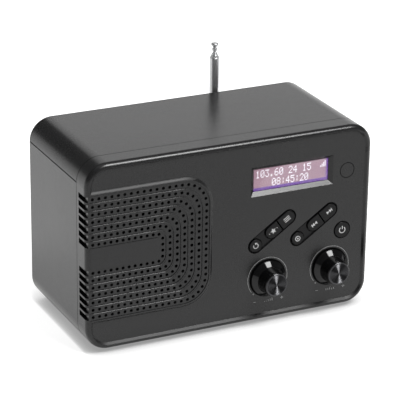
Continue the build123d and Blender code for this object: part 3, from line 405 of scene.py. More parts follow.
def makeCloth():
    look = dict(dark=0.003, light=0.012, threads=260.0, rough=0.9, sheen=0.1, depth=0.08)
    material, tree, shader, place = startMaterial("grilleCloth")
    threads = useGroup(tree, plainWeave, Place=place, Threads=look["threads"])["Height"]
    tint = blendColour(tree, threads, grey(look["dark"]), grey(look["light"]))
    feed(tree, shader, Base_Color=tint, Roughness=look["rough"], Sheen_Weight=look["sheen"])
    addBump(tree, shader, threads, look["depth"])
    return material


def makeRibbon():
    # Flat cable: pale insulation with a ridge over each wire.
    look = dict(
        dark=(0.30, 0.30, 0.31), light=(0.46, 0.46, 0.47), wires=125.0, rough=0.45, depth=0.25,
    )
    material, tree, shader, place = startMaterial("flatCable")
    wave = addNode(tree, "ShaderNodeTexWave", wave_type="BANDS", bands_direction="X")
    ridges = feed(tree, wave, Vector=place, Scale=look["wires"]).outputs["Fac"]
    tint = blendColour(tree, ridges, opaque(look["dark"]), opaque(look["light"]))
    feed(tree, shader, Base_Color=tint, Roughness=look["rough"])
    addBump(tree, shader, ridges, look["depth"])
    return material


def makeCellCan():
    # Plain shrink sleeve with one wide coloured band; its place and width are shares of the length.
    look = dict(
        sleeve=(0.035, 0.035, 0.038), band=(0.06, 0.16, 0.30), bandAt=0.5, bandHalf=0.28,
        rough=0.28, smear=90.0, smearRough=0.10, dust=300.0,
    )
    low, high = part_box("battery_cells")
    material, tree, shader, place = startMaterial("cellSleeve")
    along = spread(tree, axes(tree, place)["X"], low.x, high.x)
    band = calc(tree, "COMPARE", along, look["bandAt"], look["bandHalf"])
    tint = blendColour(tree, band, opaque(look["sleeve"]), opaque(look["band"]))
    touch = useGroup(tree, handling, Place=place, Smear=look["smear"], Dust=look["dust"])
    rough = calc(tree, "MULTIPLY_ADD", touch["Smear Mask"], look["smearRough"], look["rough"])
    feed(tree, shader, Base_Color=tint, Roughness=rough)
    return material


finishes = {slot: makeMoulded(slot + "Finish", look) for slot, look in mouldedFinishes.items()}
finishes.update({slot: makeMetal(slot + "Finish", look) for slot, look in metalFinishes.items()})
finishes["knob_gloss"] = makeKnobGloss()
finishes["spun_metal"] = makeSpunMetal()
finishes["clear_lens"] = makeClearLens()
finishes["lcd_glass"] = makeLcdGlass()
finishes["circuit_board"] = makeCircuitBoard()
finishes["cloth"] = makeCloth()
finishes["ribbon"] = makeRibbon()
finishes["cell_can"] = makeCellCan()
# Painted shade: the near-black skin of the sheets at joints, key rows and knob edges
paintedJointShade = makeMoulded("paintedJointShade", jointShadeFinish)

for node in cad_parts.values():
    for holder in node.material_slots:
        holder.material = finishes[holder.material.name]
print("finishes on all CAD nodes:", len(finishes))


# Modelling helpers

flatWork = dict(dotCorners=24, arcLeast=8, arcStep=4.0, thickness=0.03, sunk=0.01, weld=1e-4)


def makePiece(name, bm, material, body, smoothAngle=None):
    mesh = bpy.data.meshes.new(name)
    for face in bm.faces:
        face.smooth = smoothAngle is not None
    bm.to_mesh(mesh)
    bm.free()
    if smoothAngle is not None:
        mesh.set_sharp_from_angle(angle=math.radians(smoothAngle))
    mesh.materials.append(material)
    piece = bpy.data.objects.new(name, mesh)
    scene.collection.objects.link(piece)
    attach(piece, body)
    return piece


def frontMatrix(x, y, z, tilt=0.0):
    # Drawing plane in mm on the front: drawing x runs right, y up and z towards the viewer.
    upright = Matrix.Rotation(math.radians(90), 4, "X")
    stand = upright @ Matrix.Rotation(math.radians(tilt), 4, "Z")
    return Matrix.Translation((x, y, z)) @ stand @ Matrix.Scale(mm, 4)


def flatBar(bm, width, height, x=0.0, y=0.0):
    # A grid of half size 0.5 is one unit wide.
    place = Matrix.Translation((x, y, 0)) @ Matrix.Diagonal((width, height, 1, 1))
    bmesh.ops.create_grid(bm, x_segments=1, y_segments=1, size=0.5, matrix=place)


def flatDot(bm, radius, x=0.0, y=0.0, corners=flatWork["dotCorners"], turn=0.0):
    place = Matrix.Translation((x, y, 0)) @ Matrix.Rotation(math.radians(turn), 4, "Z")
    dot = bmesh.ops.create_circle(bm, cap_ends=True, segments=corners, radius=radius, matrix=place)
    return dot["verts"]


def flatArc(bm, radius, width, fromTop, sweep):
    # Angles in degrees, clockwise from the top.
    start = math.radians(90 - fromTop)
    way = Vector((math.cos(start), math.sin(start), 0))
    ends = [bm.verts.new(way * r) for r in (radius - width / 2, radius + width / 2)]
    line = bm.edges.new(ends)
    steps = max(flatWork["arcLeast"], round(abs(sweep) / flatWork["arcStep"]))
    bmesh.ops.spin(
        bm, geom=[*ends, line], cent=(0, 0, 0), axis=(0, 0, -1), dvec=(0, 0, 0),
        angle=math.radians(sweep), steps=steps, use_duplicate=False,
    )


def flatRing(bm, radius, width):
    flatArc(bm, radius, width, 0, 360)
    bmesh.ops.remove_doubles(bm, verts=bm.verts[:], dist=flatWork["weld"])


def finishFlat(bm, place, thickness=flatWork["thickness"], sunk=flatWork["sunk"]):
    # Gives a flat drawing its print thickness, then sets it on the surface it is printed on.
    turned = [face for face in bm.faces if face.normal.z < 0]
    bmesh.ops.reverse_faces(bm, faces=turned)
    bmesh.ops.solidify(bm, geom=bm.faces[:], thickness=thickness)
    bmesh.ops.recalc_face_normals(bm, faces=bm.faces[:])
    lowest = min(vert.co.z for vert in bm.verts)
    bmesh.ops.translate(bm, verts=bm.verts[:], vec=(0, 0, -sunk - lowest))
    bmesh.ops.transform(bm, matrix=place, verts=bm.verts[:])


printSkin = dict(grain=5000.0, patch=120.0, rough=0.42, spread=0.10, tint=0.12, depth=0.004)


def makePrintInk(name, level):
    material, tree, shader, place = startMaterial(name)
    grain = mouldSkin(tree, place, printSkin, grey(level))
    feed(tree, shader, Base_Color=grain["Colour"], Roughness=grain["Rough"])
    addBump(tree, shader, grain["Height"], printSkin["depth"])
    return material


keyInk = makePrintInk("keyInk", 0.62)
panelInk = makePrintInk("panelInk", 0.34)


# Signs on the keys: plain pictograms along each slanted row

keySigns = dict(
    tilt=34.3, middleAt=13.45, lastAt=24.1, stroke=0.36, enlarge=1.28, ringR=1.15,
    loopFrom=40, loopSweep=290, tipR=0.72, tipX=0.62, tipY=1.0, tipTurn=25,
    starR=1.55, starPoints=5, starNotch=0.44, sideDotR=0.24, sideDotX=2.3, sideDotCorners=12,
    menuW=3.2, menuPitch=0.85, hubR=0.42, hubCorners=16,
    arrowR=0.95, arrowX=0.75, arrowShift=0.1, stopX=1.75, stopH=1.6,
    powerR=1.45, powerStroke=0.40, powerFrom=38, powerSweep=284, stemH=1.55, stemY=1.15,
)


def drawArrows(bm, way):
    look = keySigns
    for side in (-1, 1):
        x = side * look["arrowX"] + look["arrowShift"] * way
        flatDot(bm, look["arrowR"], x=x, corners=3, turn=-90 * way)
    flatBar(bm, look["stroke"], look["stopH"], x=look["stopX"] * way)


def drawMode(bm):
    look = keySigns
    flatArc(bm, look["ringR"], look["stroke"], look["loopFrom"], look["loopSweep"])
    flatDot(bm, look["tipR"], x=look["tipX"], y=look["tipY"], corners=3, turn=look["tipTurn"])


def drawPreset(bm):
    look = keySigns
    corners = flatDot(bm, look["starR"], corners=2 * look["starPoints"])
    bmesh.ops.scale(bm, vec=(look["starNotch"], look["starNotch"], 1), verts=corners[1::2])
    for side in (-1, 1):
        flatDot(bm, look["sideDotR"], x=side * look["sideDotX"], corners=look["sideDotCorners"])


def drawMenu(bm):
    for k in (-1, 0, 1):
        flatBar(bm, keySigns["menuW"], keySigns["stroke"], y=k * keySigns["menuPitch"])


def drawSelect(bm):
    flatArc(bm, keySigns["ringR"], keySigns["stroke"], 0, 360)
    flatDot(bm, keySigns["hubR"], corners=keySigns["hubCorners"])


def drawPower(bm):
    look = keySigns
    flatArc(bm, look["powerR"], look["powerStroke"], look["powerFrom"], look["powerSweep"])
    flatBar(bm, look["powerStroke"], look["stemH"], y=look["stemY"])


def makeKeySigns():
    turn = math.radians(keySigns["tilt"])
    drawings = (
        ("mode", "mode", 0.0, drawMode),
        ("preset", "mode", keySigns["middleAt"], drawPreset),
        ("menu", "mode", keySigns["lastAt"], drawMenu),
        ("select", "select", 0.0, drawSelect),
        ("previous", "select", keySigns["middleAt"], lambda bm: drawArrows(bm, -1)),
        ("next", "select", keySigns["lastAt"], lambda bm: drawArrows(bm, 1)),
        ("power", "power", 0.0, drawPower),
    )
    for word, rowStart, along, draw in drawings:
        start = middleOf(rowStart + "_key")
        tilt = 0.0 if word == "power" else keySigns["tilt"]
        bm = bmesh.new()
        draw(bm)
        bmesh.ops.scale(bm, vec=(keySigns["enlarge"],) * 3, verts=bm.verts[:])
        x = start.x + along * mm * math.cos(turn)
        z = start.z + along * mm * math.sin(turn)
        finishFlat(bm, frontMatrix(x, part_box(word + "_key")[0].y, z, tilt))
        makePiece(word + "_sign", bm, keyInk, word + "_key")


makeKeySigns()
print("key signs done")


# Key rows: painted shade in the pockets, as a dark plate on the floor between the round key and the
# next, and a dark edge all round

keyRow = dict(
    holeR=4.5, middleStart=12.4, pocket=1.05, holeSteps=24, length=25.5, edgeW=0.40, edgeCorners=64,
)


# Painted shade: a dark plate over the pocket floor between the two holes, where that floor lies in
# shade.
def makeRowBridgeShade(word):
    start = middleOf(word + "_key")
    bm = bmesh.new()
    sides = []
    for middle, way in ((0.0, -1), (keyRow["middleStart"], 1)):
        corner = bm.verts.new((middle, keyRow["holeR"], 0))
        before = set(bm.edges)
        bmesh.ops.spin(
            bm, geom=[corner], cent=(middle, 0, 0), axis=(0, 0, way), dvec=(0, 0, 0),
            angle=math.radians(180), steps=keyRow["holeSteps"], use_duplicate=False,
        )
        sides += [edge for edge in bm.edges if edge not in before]
    bmesh.ops.bridge_loops(bm, edges=sides)
    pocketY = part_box(word + "_key")[0].y + keyRow["pocket"] * mm
    finishFlat(bm, frontMatrix(start.x, pocketY, start.z, keySigns["tilt"]))
    makePiece(word + "_row_bridge_shade", bm, finishes["key_plastic"], "cabinet")


# Painted shade: a near-black edge on the panel round each key row, where the pocket's gap falls
# into shade.
def makeRowShadeEdge(word):
    start = middleOf(word + "_key")
    edgeW = keyRow["edgeW"]
    bm = bmesh.new()
    flatDot(bm, keyRow["holeR"] + edgeW, corners=keyRow["edgeCorners"])
    far = [vert for vert in bm.verts if vert.co.x > 0]
    bmesh.ops.translate(bm, verts=far, vec=(keyRow["length"], 0, 0))
    inner = bm.faces[:]
    bmesh.ops.inset_region(
        bm, faces=inner, thickness=edgeW, use_boundary=True, use_even_offset=True,
    )
    bmesh.ops.delete(bm, geom=inner, context="FACES")
    finishFlat(bm, frontMatrix(start.x, panelY, start.z, keySigns["tilt"]))
    makePiece(word + "_row_shade_edge", bm, paintedJointShade, "cabinet")


sensorShadeRing = dict(radius=4.575, width=0.42)


# Painted shade: a near-black ring on the panel round the sensor window, where its joint lies in
# shade.
def makeSensorShadeRing():
    centre = middleOf("sensor_window")
    bm = bmesh.new()
    flatRing(bm, sensorShadeRing["radius"], sensorShadeRing["width"])
    finishFlat(bm, frontMatrix(centre.x, panelY, centre.z))
    makePiece("sensor_shade_ring", bm, paintedJointShade, "cabinet")


for word in ("mode", "select"):
    makeRowBridgeShade(word)
    makeRowShadeEdge(word)
makeSensorShadeRing()
print("key rows and sensor joint done")


# Scales printed round the knobs, and a painted shade ring on the panel under each knob's edge

knobScale = dict(
    radius=12.8, line=0.26, sweep=127.0, dotAt=135.5, dotR=0.50, dotCorners=16,
    signX=8.9, signY=-14.3, signShift=0.85, signLong=1.7, signThin=0.36,
    bars=5, barW=0.42, barPitch=1.25, barDrop=0.95, barFirst=0.7, barRise=0.32,
    tick=1.1, longTick=1.9, shadeRingR=11.15, shadeRingW=1.3,
)


def makeKnobScale(word):
    centre = middleOf(word + "_knob_disc")
    look = knobScale
    bm = bmesh.new()
    flatArc(bm, look["radius"], look["line"], -look["sweep"], 2 * look["sweep"])
    for side in (-1, 1):
        lean = math.radians(look["dotAt"] * side)
        dotX, dotY = look["radius"] * math.sin(lean), look["radius"] * math.cos(lean)
        flatDot(bm, look["dotR"], x=dotX, y=dotY, corners=look["dotCorners"])
        signX = look["signShift"] + side * look["signX"]
        flatBar(bm, look["signLong"], look["signThin"], x=signX, y=look["signY"])
    plusX = look["signShift"] + look["signX"]
    flatBar(bm, look["signThin"], look["signLong"], x=plusX, y=look["signY"])
    low = look["signY"] - look["barDrop"]
    middle = look["bars"] // 2
    for k in range(look["bars"]):  # rising bars for loudness, even ticks for tuning
        if word == "volume":
            height = look["barFirst"] + look["barRise"] * k
        else:
            height = look["longTick"] if k == middle else look["tick"]
        barX = look["signShift"] + (k - middle) * look["barPitch"]
        flatBar(bm, look["barW"], height, x=barX, y=low + height / 2)
    finishFlat(bm, frontMatrix(centre.x, panelY, centre.z))
    makePiece(word + "_scale", bm, panelInk, "cabinet")


# Painted shade: a near-black ring on the panel under the knob's edge, where its shadow falls.
def makeShadeRing(word):
    centre = middleOf(word + "_knob_disc")
    bm = bmesh.new()
    flatRing(bm, knobScale["shadeRingR"], knobScale["shadeRingW"])
    finishFlat(bm, frontMatrix(centre.x, panelY, centre.z))
    makePiece(word + "_shade_ring", bm, paintedJointShade, "cabinet")


for word in ("volume", "tune"):
    makeKnobScale(word)
    makeShadeRing(word)
print("knob scales done")


# Grille: a fine bead along each ridge between the U-shaped rows

grilleBead = dict(
    ridges=6, pitch=4.52, tall=10.75, reach=-41.04, cornerR=4.62, cornerStep=1.74, start=-86.0,
    up=0.8, half=0.12, sunk=0.01, steps=12,
)


def sweepU(bm, reach, tall, radius, profile):
    # Runs a closed profile right, down and back left, round two corners.
    look = grilleBead
    corner = Vector((reach - radius, tall - radius, 0))
    points = [bm.verts.new((look["start"], tall + out, high)) for out, high in profile]
    ring = [bm.edges.new((points[k - 1], points[k])) for k in range(len(points))]
    across = corner.x - look["start"]
    runs = ((across, 0, 0), (0, -2 * corner.y, 0), (-across, 0, 0))
    turns = (corner, Vector((corner.x, -corner.y, 0)), None)
    for run, centre in zip(runs, turns):
        fresh = bmesh.ops.extrude_edge_only(bm, edges=ring)["geom"]
        points = [part for part in fresh if isinstance(part, bmesh.types.BMVert)]
        bmesh.ops.translate(bm, verts=points, vec=run)
        if centre is None:
            break
        ring = [
            part for part in fresh
            if isinstance(part, bmesh.types.BMEdge) and all(vert in points for vert in part.verts)
        ]
        last = bmesh.ops.spin(
            bm, geom=points + ring, cent=centre, axis=(0, 0, -1), dvec=(0, 0, 0),
            angle=math.radians(90), steps=look["steps"], use_duplicate=False,
        )["geom_last"]
        ring = [part for part in last if isinstance(part, bmesh.types.BMEdge)]


def makeGrilleBeads():
    look = grilleBead
    half, sunk = look["half"], look["sunk"]
    profile = ((-half, -sunk), (0, half), (half, -sunk))
    bm = bmesh.new()
    for m in range(look["ridges"]):
        out = m * look["pitch"]
        radius = look["cornerR"] + m * look["cornerStep"]
        sweepU(bm, look["reach"] + out, look["tall"] + out, radius, profile)
    openEnds = [edge for edge in bm.edges if edge.is_boundary]
    bmesh.ops.holes_fill(bm, edges=openEnds, sides=len(profile))
    bmesh.ops.recalc_face_normals(bm, faces=bm.faces[:])
    middle = middleOf("front_cabinet").z + look["up"] * mm
    place = frontMatrix(0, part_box("front_cabinet")[0].y, middle)
    bmesh.ops.transform(bm, matrix=place, verts=bm.verts[:])
    makePiece("grille_beads", bm, finishes["cabinet"], "cabinet")


makeGrilleBeads()
print("grille beads done")


# Knobs: a glossy flared foot and boss, and a turned metal disc

knobShape = dict(
    bossR=7.05, flareR=8.15, flareH=3.5, edgeH=1.0, footRound=0.35, flareRound=0.25, noseRound=0.25,
    steps=128, smooth=30,
)
discShape = dict(
    radius=6.85, edge=0.20, grooves=23, slopes=(40.0, 43.0, 46.0), bead=0.50, hub=1e-4, steps=96,
    smooth=25,
)
turnedWork = dict(weld=1e-5, near=1e-3, roundSegments=6)


def spinProfile(bm, points, steps):
    profile = [bm.verts.new((x, 0, z)) for x, z in points]
    lines = [bm.edges.new(pair) for pair in zip(profile, profile[1:])]
    bmesh.ops.spin(
        bm, geom=profile + lines, cent=(0, 0, 0), axis=(0, 0, 1), dvec=(0, 0, 0),
        angle=math.radians(360), steps=steps, use_merge=True, use_duplicate=False,
    )
    bmesh.ops.remove_doubles(bm, verts=bm.verts[:], dist=turnedWork["weld"])
    bmesh.ops.recalc_face_normals(bm, faces=bm.faces[:])


def roundRing(bm, radius, height, offset):
    def onRing(spot):
        away = abs(math.hypot(spot.x, spot.y) - radius) + abs(spot.z - height)
        return away < turnedWork["near"]

    ring = [edge for edge in bm.edges if all(onRing(vert.co) for vert in edge.verts)]
    bmesh.ops.bevel(
        bm, geom=ring, offset=offset, affect="EDGES", segments=turnedWork["roundSegments"],
        profile=0.5, material=-1,
    )


def makeKnob(word):
    node = word + "_knob"
    low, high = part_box(node)
    centre = (low + high) / 2
    look = knobShape
    baseR = (high.x - low.x) / 2 / mm
    tall = (high.y - low.y) / mm
    bm = bmesh.new()
    outline = (
        (0, 0), (baseR, 0), (baseR, look["edgeH"]), (look["flareR"], look["flareH"]),
        (look["bossR"], tall), (0, tall),
    )
    spinProfile(bm, outline, look["steps"])
    roundRing(bm, baseR, look["edgeH"], look["footRound"])
    roundRing(bm, look["flareR"], look["flareH"], look["flareRound"])
    roundRing(bm, look["bossR"], tall, look["noseRound"])
    bmesh.ops.transform(bm, matrix=frontMatrix(centre.x, high.y, centre.z), verts=bm.verts[:])
    piece = makePiece(
        word + "_body", bm, finishes["knob_gloss"], word, smoothAngle=look["smooth"],
    )
    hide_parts(node)


def grooveOutline(thick):
    # V grooves from the middle outwards, in turn shallow, middling and steep, then a plain rim.
    look = discShape
    radius, edge = look["radius"], look["edge"]
    half = (radius - edge - look["bead"]) / look["grooves"] / 2
    outline = [(0, thick)]
    for k in range(look["grooves"]):
        slope = look["slopes"][k % len(look["slopes"])]
        outline.append(((2 * k + 1) * half, thick - half * math.tan(math.radians(slope))))
        outline.append(((2 * k + 2) * half, thick))
    return outline + [(radius - edge, thick), (radius, thick - edge), (radius, 0), (0, 0)]


def mapTurning(bm):
    # u runs outwards, v round the disc; a corner on the axis takes the angle of its face.
    turning = bm.loops.layers.uv.new("turning")
    for face in bm.faces:
        middle = face.calc_center_median()
        home = math.atan2(middle.y, middle.x)
        for loop in face.loops:
            spot = loop.vert.co
            reach = math.hypot(spot.x, spot.y)
            angle = math.atan2(spot.y, spot.x) if reach > discShape["hub"] else home
            angle = home + (angle - home + math.pi) % (2 * math.pi) - math.pi
            loop[turning].uv = (reach / discShape["radius"], angle / (2 * math.pi))


def makeDisc(word):
    node = word + "_knob_disc"
    low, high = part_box(node)
    centre = (low + high) / 2
    bm = bmesh.new()
    spinProfile(bm, grooveOutline((high.y - low.y) / mm), discShape["steps"])
    mapTurning(bm)
    bmesh.ops.transform(bm, matrix=frontMatrix(centre.x, high.y, centre.z), verts=bm.verts[:])
    piece = makePiece(
        word + "_disc", bm, finishes["spun_metal"], word,
        smoothAngle=discShape["smooth"],
    )
    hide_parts(node)


for word in ("volume", "tune"):
    makeKnob(word)
    makeDisc(word)
print("knobs and their discs done")


# Antenna: the outer tube with its rolled-in end; collarFrom and collarTo are shares of collarH

tubeShape = dict(
    radius=2.85, wall=0.35, collarR=2.62, collarH=0.9, collarFrom=0.6, collarTo=0.2, lipRound=0.1,
    steps=64, smooth=30,
)


def makeTube():
    node = "antenna_outer_tube"
    low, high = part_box(node)
    centre = (low + high) / 2
    tall = (high.z - low.z) / mm
    look = tubeShape
    radius, collarR, collarH = look["radius"], look["collarR"], look["collarH"]
    bore = radius - look["wall"]
    lip = collarR - look["wall"]
    collar = tall - collarH
    outline = (
        (bore, 0), (radius, 0), (radius, collar), (collarR, tall - look["collarFrom"] * collarH),
        (collarR, tall - look["collarTo"] * collarH), (lip + look["lipRound"], tall), (lip, tall),
        (lip, collar), (bore, collar - collarH), (bore, 0),
    )
    bm = bmesh.new()
    spinProfile(bm, outline, look["steps"])
    stand = Matrix.Translation((centre.x, centre.y, low.z)) @ Matrix.Scale(mm, 4)
    bmesh.ops.transform(bm, matrix=stand, verts=bm.verts[:])
    piece = makePiece(
        "antenna_skin", bm, finishes["chrome"], "antenna_tube",
        smoothAngle=look["smooth"],
    )
    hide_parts(node)


makeTube()
print("antenna tube done")


# Display: lens pane and its border, lit picture and its dots

display = dict(
    lensBackGap=0.10, lensRound=0.25, lensSegments=2, lensSmooth=40,
    openW=48.5, openH=13.5, border=dict(left=0.30, right=0.20, top=0.15, bottom=0.25),
    viewW=50.0, viewH=15.0, pictureT=0.02,
    dotT=0.02, dotW=0.50, dotH=0.64, letterDots=6, middleRow=3,
    lines=(
        dict(text="103.60 24 15", left=-22.0, middle=3.1),
        dict(text="08:45:20", left=-11.6, middle=-2.7),
    ),
    iconX=19.6, iconY=3.6, iconDrop=2.0, iconBars=4, iconBarW=0.62, iconPitch=0.95, iconFirst=1.0,
    iconRise=0.9,
)

# Five by seven dot figures, row by row from the top
figures = {
    "0": ".###. #...# #..## #.#.# ##..# #...# .###.",
    "1": "..#.. .##.. ..#.. ..#.. ..#.. ..#.. .###.",
    "2": ".###. #...# ....# ...#. ..#.. .#... #####",
    "3": "##### ...#. ..#.. ...#. ....# #...# .###.",
    "4": "...#. ..##. .#.#. #..#. ##### ...#. ...#.",
    "5": "##### #.... ####. ....# ....# #...# .###.",
    "6": "..##. .#... #.... ####. #...# #...# .###.",
    "8": ".###. #...# #...# .###. #...# #...# .###.",
    ":": "..... ..#.. ..#.. ..... ..#.. ..#.. .....",
    ".": "..... ..... ..... ..... ..... .##.. .##..",
    " ": "..... ..... ..... ..... ..... ..... .....",
}


def makeLens():
    low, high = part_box("display_lens")
    gap = display["lensBackGap"] * mm
    size = high - low
    size.y -= gap
    centre = (low + high) / 2
    centre.y -= gap / 2
    bm = bmesh.new()
    place = Matrix.Translation(centre) @ Matrix.Diagonal((*size, 1))
    bmesh.ops.create_cube(bm, size=1.0, matrix=place)
    bmesh.ops.bevel(
        bm, geom=bm.edges[:], offset=display["lensRound"] * mm, affect="EDGES",
        segments=display["lensSegments"], profile=0.5, material=-1,
    )
    lens = makePiece(
        "display_pane", bm, finishes["clear_lens"], "cabinet",
        smoothAngle=display["lensSmooth"],
    )
    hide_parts("display_lens")


def makeMaskAndShade():
    # Black border round the lens: partly a print, partly painted shade standing in for the shade of
    # the opening's walls
    low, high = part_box("display_lens")
    centre = (low + high) / 2
    width, height = display["openW"], display["openH"]
    border = display["border"]
    left, right, top, bottom = (border[side] for side in ("left", "right", "top", "bottom"))
    between = height - top - bottom
    middle = (bottom - top) / 2
    bm = bmesh.new()
    flatBar(bm, width, top, y=(height - top) / 2)
    flatBar(bm, width, bottom, y=-(height - bottom) / 2)
    flatBar(bm, left, between, x=-(width - left) / 2, y=middle)
    flatBar(bm, right, between, x=(width - right) / 2, y=middle)
    finishFlat(bm, frontMatrix(centre.x, low.y, centre.z))
    makePiece("display_mask_and_shade", bm, finishes["key_plastic"], "cabinet")


litSurface = dict(rough=0.3, glow=1.0)


def makeLitPicture():
    # Back light through the glass: dusty pink, going violet along the lower and the right edge.
    look = dict(
        left=(0.345, 0.190, 0.255), right=(0.345, 0.200, 0.275), edge=(0.115, 0.012, 0.32),
        lowTop=-4.8, lowest=-5.3, rightFrom=22.3, rightTo=23.9, halfW=24.0,
        haze=90.0, hazeBy=0.5, hazeFrom=-0.25, unlit=0.02,
    )
    centre = middleOf("lcd_panel")
    material, tree, shader, place = startMaterial("litPicture")
    spot = axes(tree, place)
    x, z = spot["X"], spot["Z"]
    halfW = look["halfW"] * mm
    lower = spread(tree, z, centre.z + look["lowTop"] * mm, centre.z + look["lowest"] * mm)
    righter = spread(tree, x, centre.x + look["rightFrom"] * mm, centre.x + look["rightTo"] * mm)
    across = spread(tree, x, centre.x - halfW, centre.x + halfW)
    cloud = noise(tree, place, look["haze"])
    haze = calc(tree, "MULTIPLY_ADD", cloud, look["hazeBy"], look["hazeFrom"])
    hazy = calc(tree, "ADD", across, haze)
    tint = blendColour(tree, hazy, opaque(look["left"]), opaque(look["right"]))
    tint = blendColour(tree, calc(tree, "MAXIMUM", lower, righter), tint, opaque(look["edge"]))
    feed(tree, shader, Base_Color=grey(look["unlit"]), Roughness=litSurface["rough"])
    feed(tree, shader, Emission_Color=tint, Emission_Strength=litSurface["glow"])
    return material


def makeLitDots():
    look = dict(
        dim=(0.86, 0.82, 0.93), bright=(0.97, 0.94, 1.0), grain=900.0, grainDetail=1.0, unlit=0.05,
    )
    material, tree, shader, place = startMaterial("litDots")
    grain = noise(tree, place, look["grain"], look["grainDetail"])
    tint = blendColour(tree, grain, opaque(look["dim"]), opaque(look["bright"]))
    feed(tree, shader, Base_Color=grey(look["unlit"]), Roughness=litSurface["rough"])
    feed(tree, shader, Emission_Color=tint, Emission_Strength=litSurface["glow"])
    return material


def makePicture():
    centre = middleOf("lcd_panel")
    bm = bmesh.new()
    flatBar(bm, display["viewW"], display["viewH"])
    place = frontMatrix(centre.x, glassY, centre.z)
    finishFlat(bm, place, thickness=display["pictureT"], sunk=0.0)
    makePiece("display_picture", bm, makeLitPicture(), "cabinet")


def drawFigure(bm, letter, left, middleY):
    for row, cells in enumerate(figures[letter].split()):
        y = middleY + (display["middleRow"] - row) * display["dotH"]
        for column, cell in enumerate(cells):
            if cell == "#":
                x = left + column * display["dotW"]
                flatBar(bm, display["dotW"], display["dotH"], x=x, y=y)


def makeDots():
    centre = middleOf("lcd_panel")
    bm = bmesh.new()
    letterW = display["letterDots"] * display["dotW"]
    for line in display["lines"]:
        for place, letter in enumerate(line["text"]):
            drawFigure(bm, letter, line["left"] + place * letterW, line["middle"])
    for k in range(display["iconBars"]):  # rising signal bars
        height = display["iconFirst"] + display["iconRise"] * k
        x = display["iconX"] + k * display["iconPitch"]
        y = display["iconY"] - display["iconDrop"] + height / 2
        flatBar(bm, display["iconBarW"], height, x=x, y=y)
    onPicture = glassY - display["pictureT"] * mm
    place = frontMatrix(centre.x, onPicture, centre.z)
    finishFlat(bm, place, thickness=display["dotT"], sunk=0.0)
    makePiece("display_dots", bm, makeLitDots(), "cabinet")


makeLens()
makeMaskAndShade()
makePicture()
makeDots()
print("display done")


# Stage, light and camera, in metres

# The contact values paint a shadow on the floor round the object's foot.
studio = dict(
    floorR=9.0, floorCorners=128, floorSunk=0.0002, floorColour=0.55, contactShadowColour=0.27,
    grain=40.0, patch=1.5, rough=0.85, spread=0.05, tint=0.01, shine=0.1,
    nearGlow=0.55, backGlow=0.91, glowFrom=-0.20, glowTo=0.0, farFrom=0.8, farTo=1.3, farGlow=1.0,
    contactReach=0.019, sideReach=0.003, sideX=-0.092, frontX=-0.084, contactRays=8,
    contactFrom=0.30, contactShadowGlow=0.37, world=0.14, backdropTop=0.10, aimZ=0.05,
)

# Softboxes: direction from the object, distance and size, power in watts
softboxes = {
    "key": dict(towards=(0.30, -0.49, 0.815), distance=1.8, width=0.76, height=0.58, power=33.0),
    "backRight": dict(towards=(0.42, 0.83, 0.37), distance=1.7, width=1.3, height=1.0, power=3.8),
    "overhead": dict(towards=(-0.10, 0.05, 1.0), distance=2.0, width=1.6, height=1.6, power=4.0),
}


def seenRays(tree):
    path = addNode(tree, "ShaderNodeLightPath").outputs
    seen = calc(tree, "MAXIMUM", path["Is Camera Ray"], path["Is Glossy Ray"])
    return calc(tree, "MAXIMUM", seen, path["Is Transmission Ray"])


def makePaleFloor():
    # Painted contact shadow: ambient occlusion darkens the colour and the glow near the object; the
    # glow is one of its own that only seen rays meet.
    look = studio
    material, tree, shader, place = startMaterial("paleFloor")
    spot = axes(tree, place)
    # Painted contact shadow: how far the occlusion reaches, shorter along the left side.
    reach = spread(
        tree, spot["X"], look["sideX"], look["frontX"], look["sideReach"], look["contactReach"],
    )
    near = addNode(tree, "ShaderNodeAmbientOcclusion", samples=look["contactRays"])
    clear = spread(tree, feed(tree, near, Distance=reach).outputs["AO"], look["contactFrom"], 1.0)
    contactShadowTone = blendColour(tree, clear, grey(look["contactShadowColour"]), grey(look["floorColour"]))
    grain = mouldSkin(tree, place, look, contactShadowTone)
    feed(tree, shader, Base_Color=grain["Colour"], Roughness=grain["Rough"])
    feed(tree, shader, Specular_IOR_Level=look["shine"])
    level = spread(
        tree, spot["Y"], look["glowFrom"], look["glowTo"], look["nearGlow"], look["backGlow"],
    )
    away = addNode(tree, "ShaderNodeVectorMath", operation="LENGTH")
    tree.links.new(place, away.inputs[0])
    far = spread(tree, away.outputs["Value"], look["farFrom"], look["farTo"], 0.0, look["farGlow"])
    level = calc(tree, "MAXIMUM", level, far)
    # Painted contact shadow in the glow as well
    lit = spread(tree, clear, 0.0, 1.0, look["contactShadowGlow"], 1.0)
    strength = calc(tree, "MULTIPLY", calc(tree, "MULTIPLY", seenRays(tree), lit), level)
    glow = addNode(tree, "ShaderNodeEmission")
    feed(tree, glow, Color=grey(1.0), Strength=strength)
    both = addNode(tree, "ShaderNodeAddShader")
    tree.links.new(shader.outputs[0], both.inputs[0])
    tree.links.new(glow.outputs[0], both.inputs[1])
    tree.links.new(both.outputs[0], tree.nodes["Material Output"].inputs["Surface"])
    return material


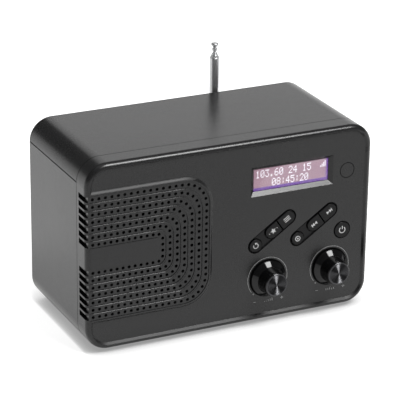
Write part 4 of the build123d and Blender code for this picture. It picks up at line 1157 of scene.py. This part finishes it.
def makeFloor():
    bm = bmesh.new()
    bmesh.ops.create_circle(
        bm, cap_ends=True, segments=studio["floorCorners"], radius=studio["floorR"],
        matrix=Matrix.Translation((0, 0, -studio["floorSunk"])),
    )
    mesh = bpy.data.meshes.new("floor")
    bm.to_mesh(mesh)
    bm.free()
    mesh.materials.append(makePaleFloor())
    floor = bpy.data.objects.new("floor", mesh)
    scene.collection.objects.link(floor)


def makeWorld():
    # Dim light all round, and white just above the floor's far edge where it is seen.
    world = bpy.data.worlds.new("studio")
    world.use_nodes = True
    tree = world.node_tree
    way = axes(tree, addNode(tree, "ShaderNodeTexCoord").outputs["Generated"])
    low = calc(tree, "LESS_THAN", way["Z"], studio["backdropTop"])
    shown = calc(tree, "MULTIPLY", seenRays(tree), low)
    sky = blendColour(tree, shown, grey(studio["world"]), grey(1.0))
    feed(tree, tree.nodes["Background"], Color=sky)
    scene.world = world


def makeLights():
    for name, look in softboxes.items():
        box = bpy.data.lights.new(name, "AREA")
        box.shape = "RECTANGLE"
        box.size = look["width"]
        box.size_y = look["height"]
        box.energy = look["power"]
        lamp = bpy.data.objects.new(name, box)
        scene.collection.objects.link(lamp)
        way = Vector(look["towards"]).normalized()
        lamp.location = Vector((0, 0, studio["aimZ"])) + way * look["distance"]
        lamp.rotation_euler = way.to_track_quat("Z", "Y").to_euler()


# Camera: place in metres, turn, tilt and roll in degrees, lens and sensor in mm
viewpoint = dict(
    place=(-0.5062, -1.0476, 0.5338), turn=-25.79, tilt=21.943, roll=-0.754,
    lens=192.57, sensor=36.0, farthest=60.0,
)


def makeCamera():
    data = bpy.data.cameras.new("camera")
    data.sensor_width = viewpoint["sensor"]
    data.lens = viewpoint["lens"]
    data.clip_end = viewpoint["farthest"]
    camera = bpy.data.objects.new("camera", data)
    scene.collection.objects.link(camera)
    turn = Matrix.Rotation(math.radians(viewpoint["turn"]), 4, "Z")
    tilt = Matrix.Rotation(math.radians(90 - viewpoint["tilt"]), 4, "X")
    roll = Matrix.Rotation(math.radians(-viewpoint["roll"]), 4, "Z")
    camera.matrix_world = Matrix.Translation(viewpoint["place"]) @ turn @ tilt @ roll
    scene.camera = camera


makeFloor()
makeWorld()
makeLights()
makeCamera()
scene.view_settings.view_transform = "Standard"
print("stage, lights and camera done")
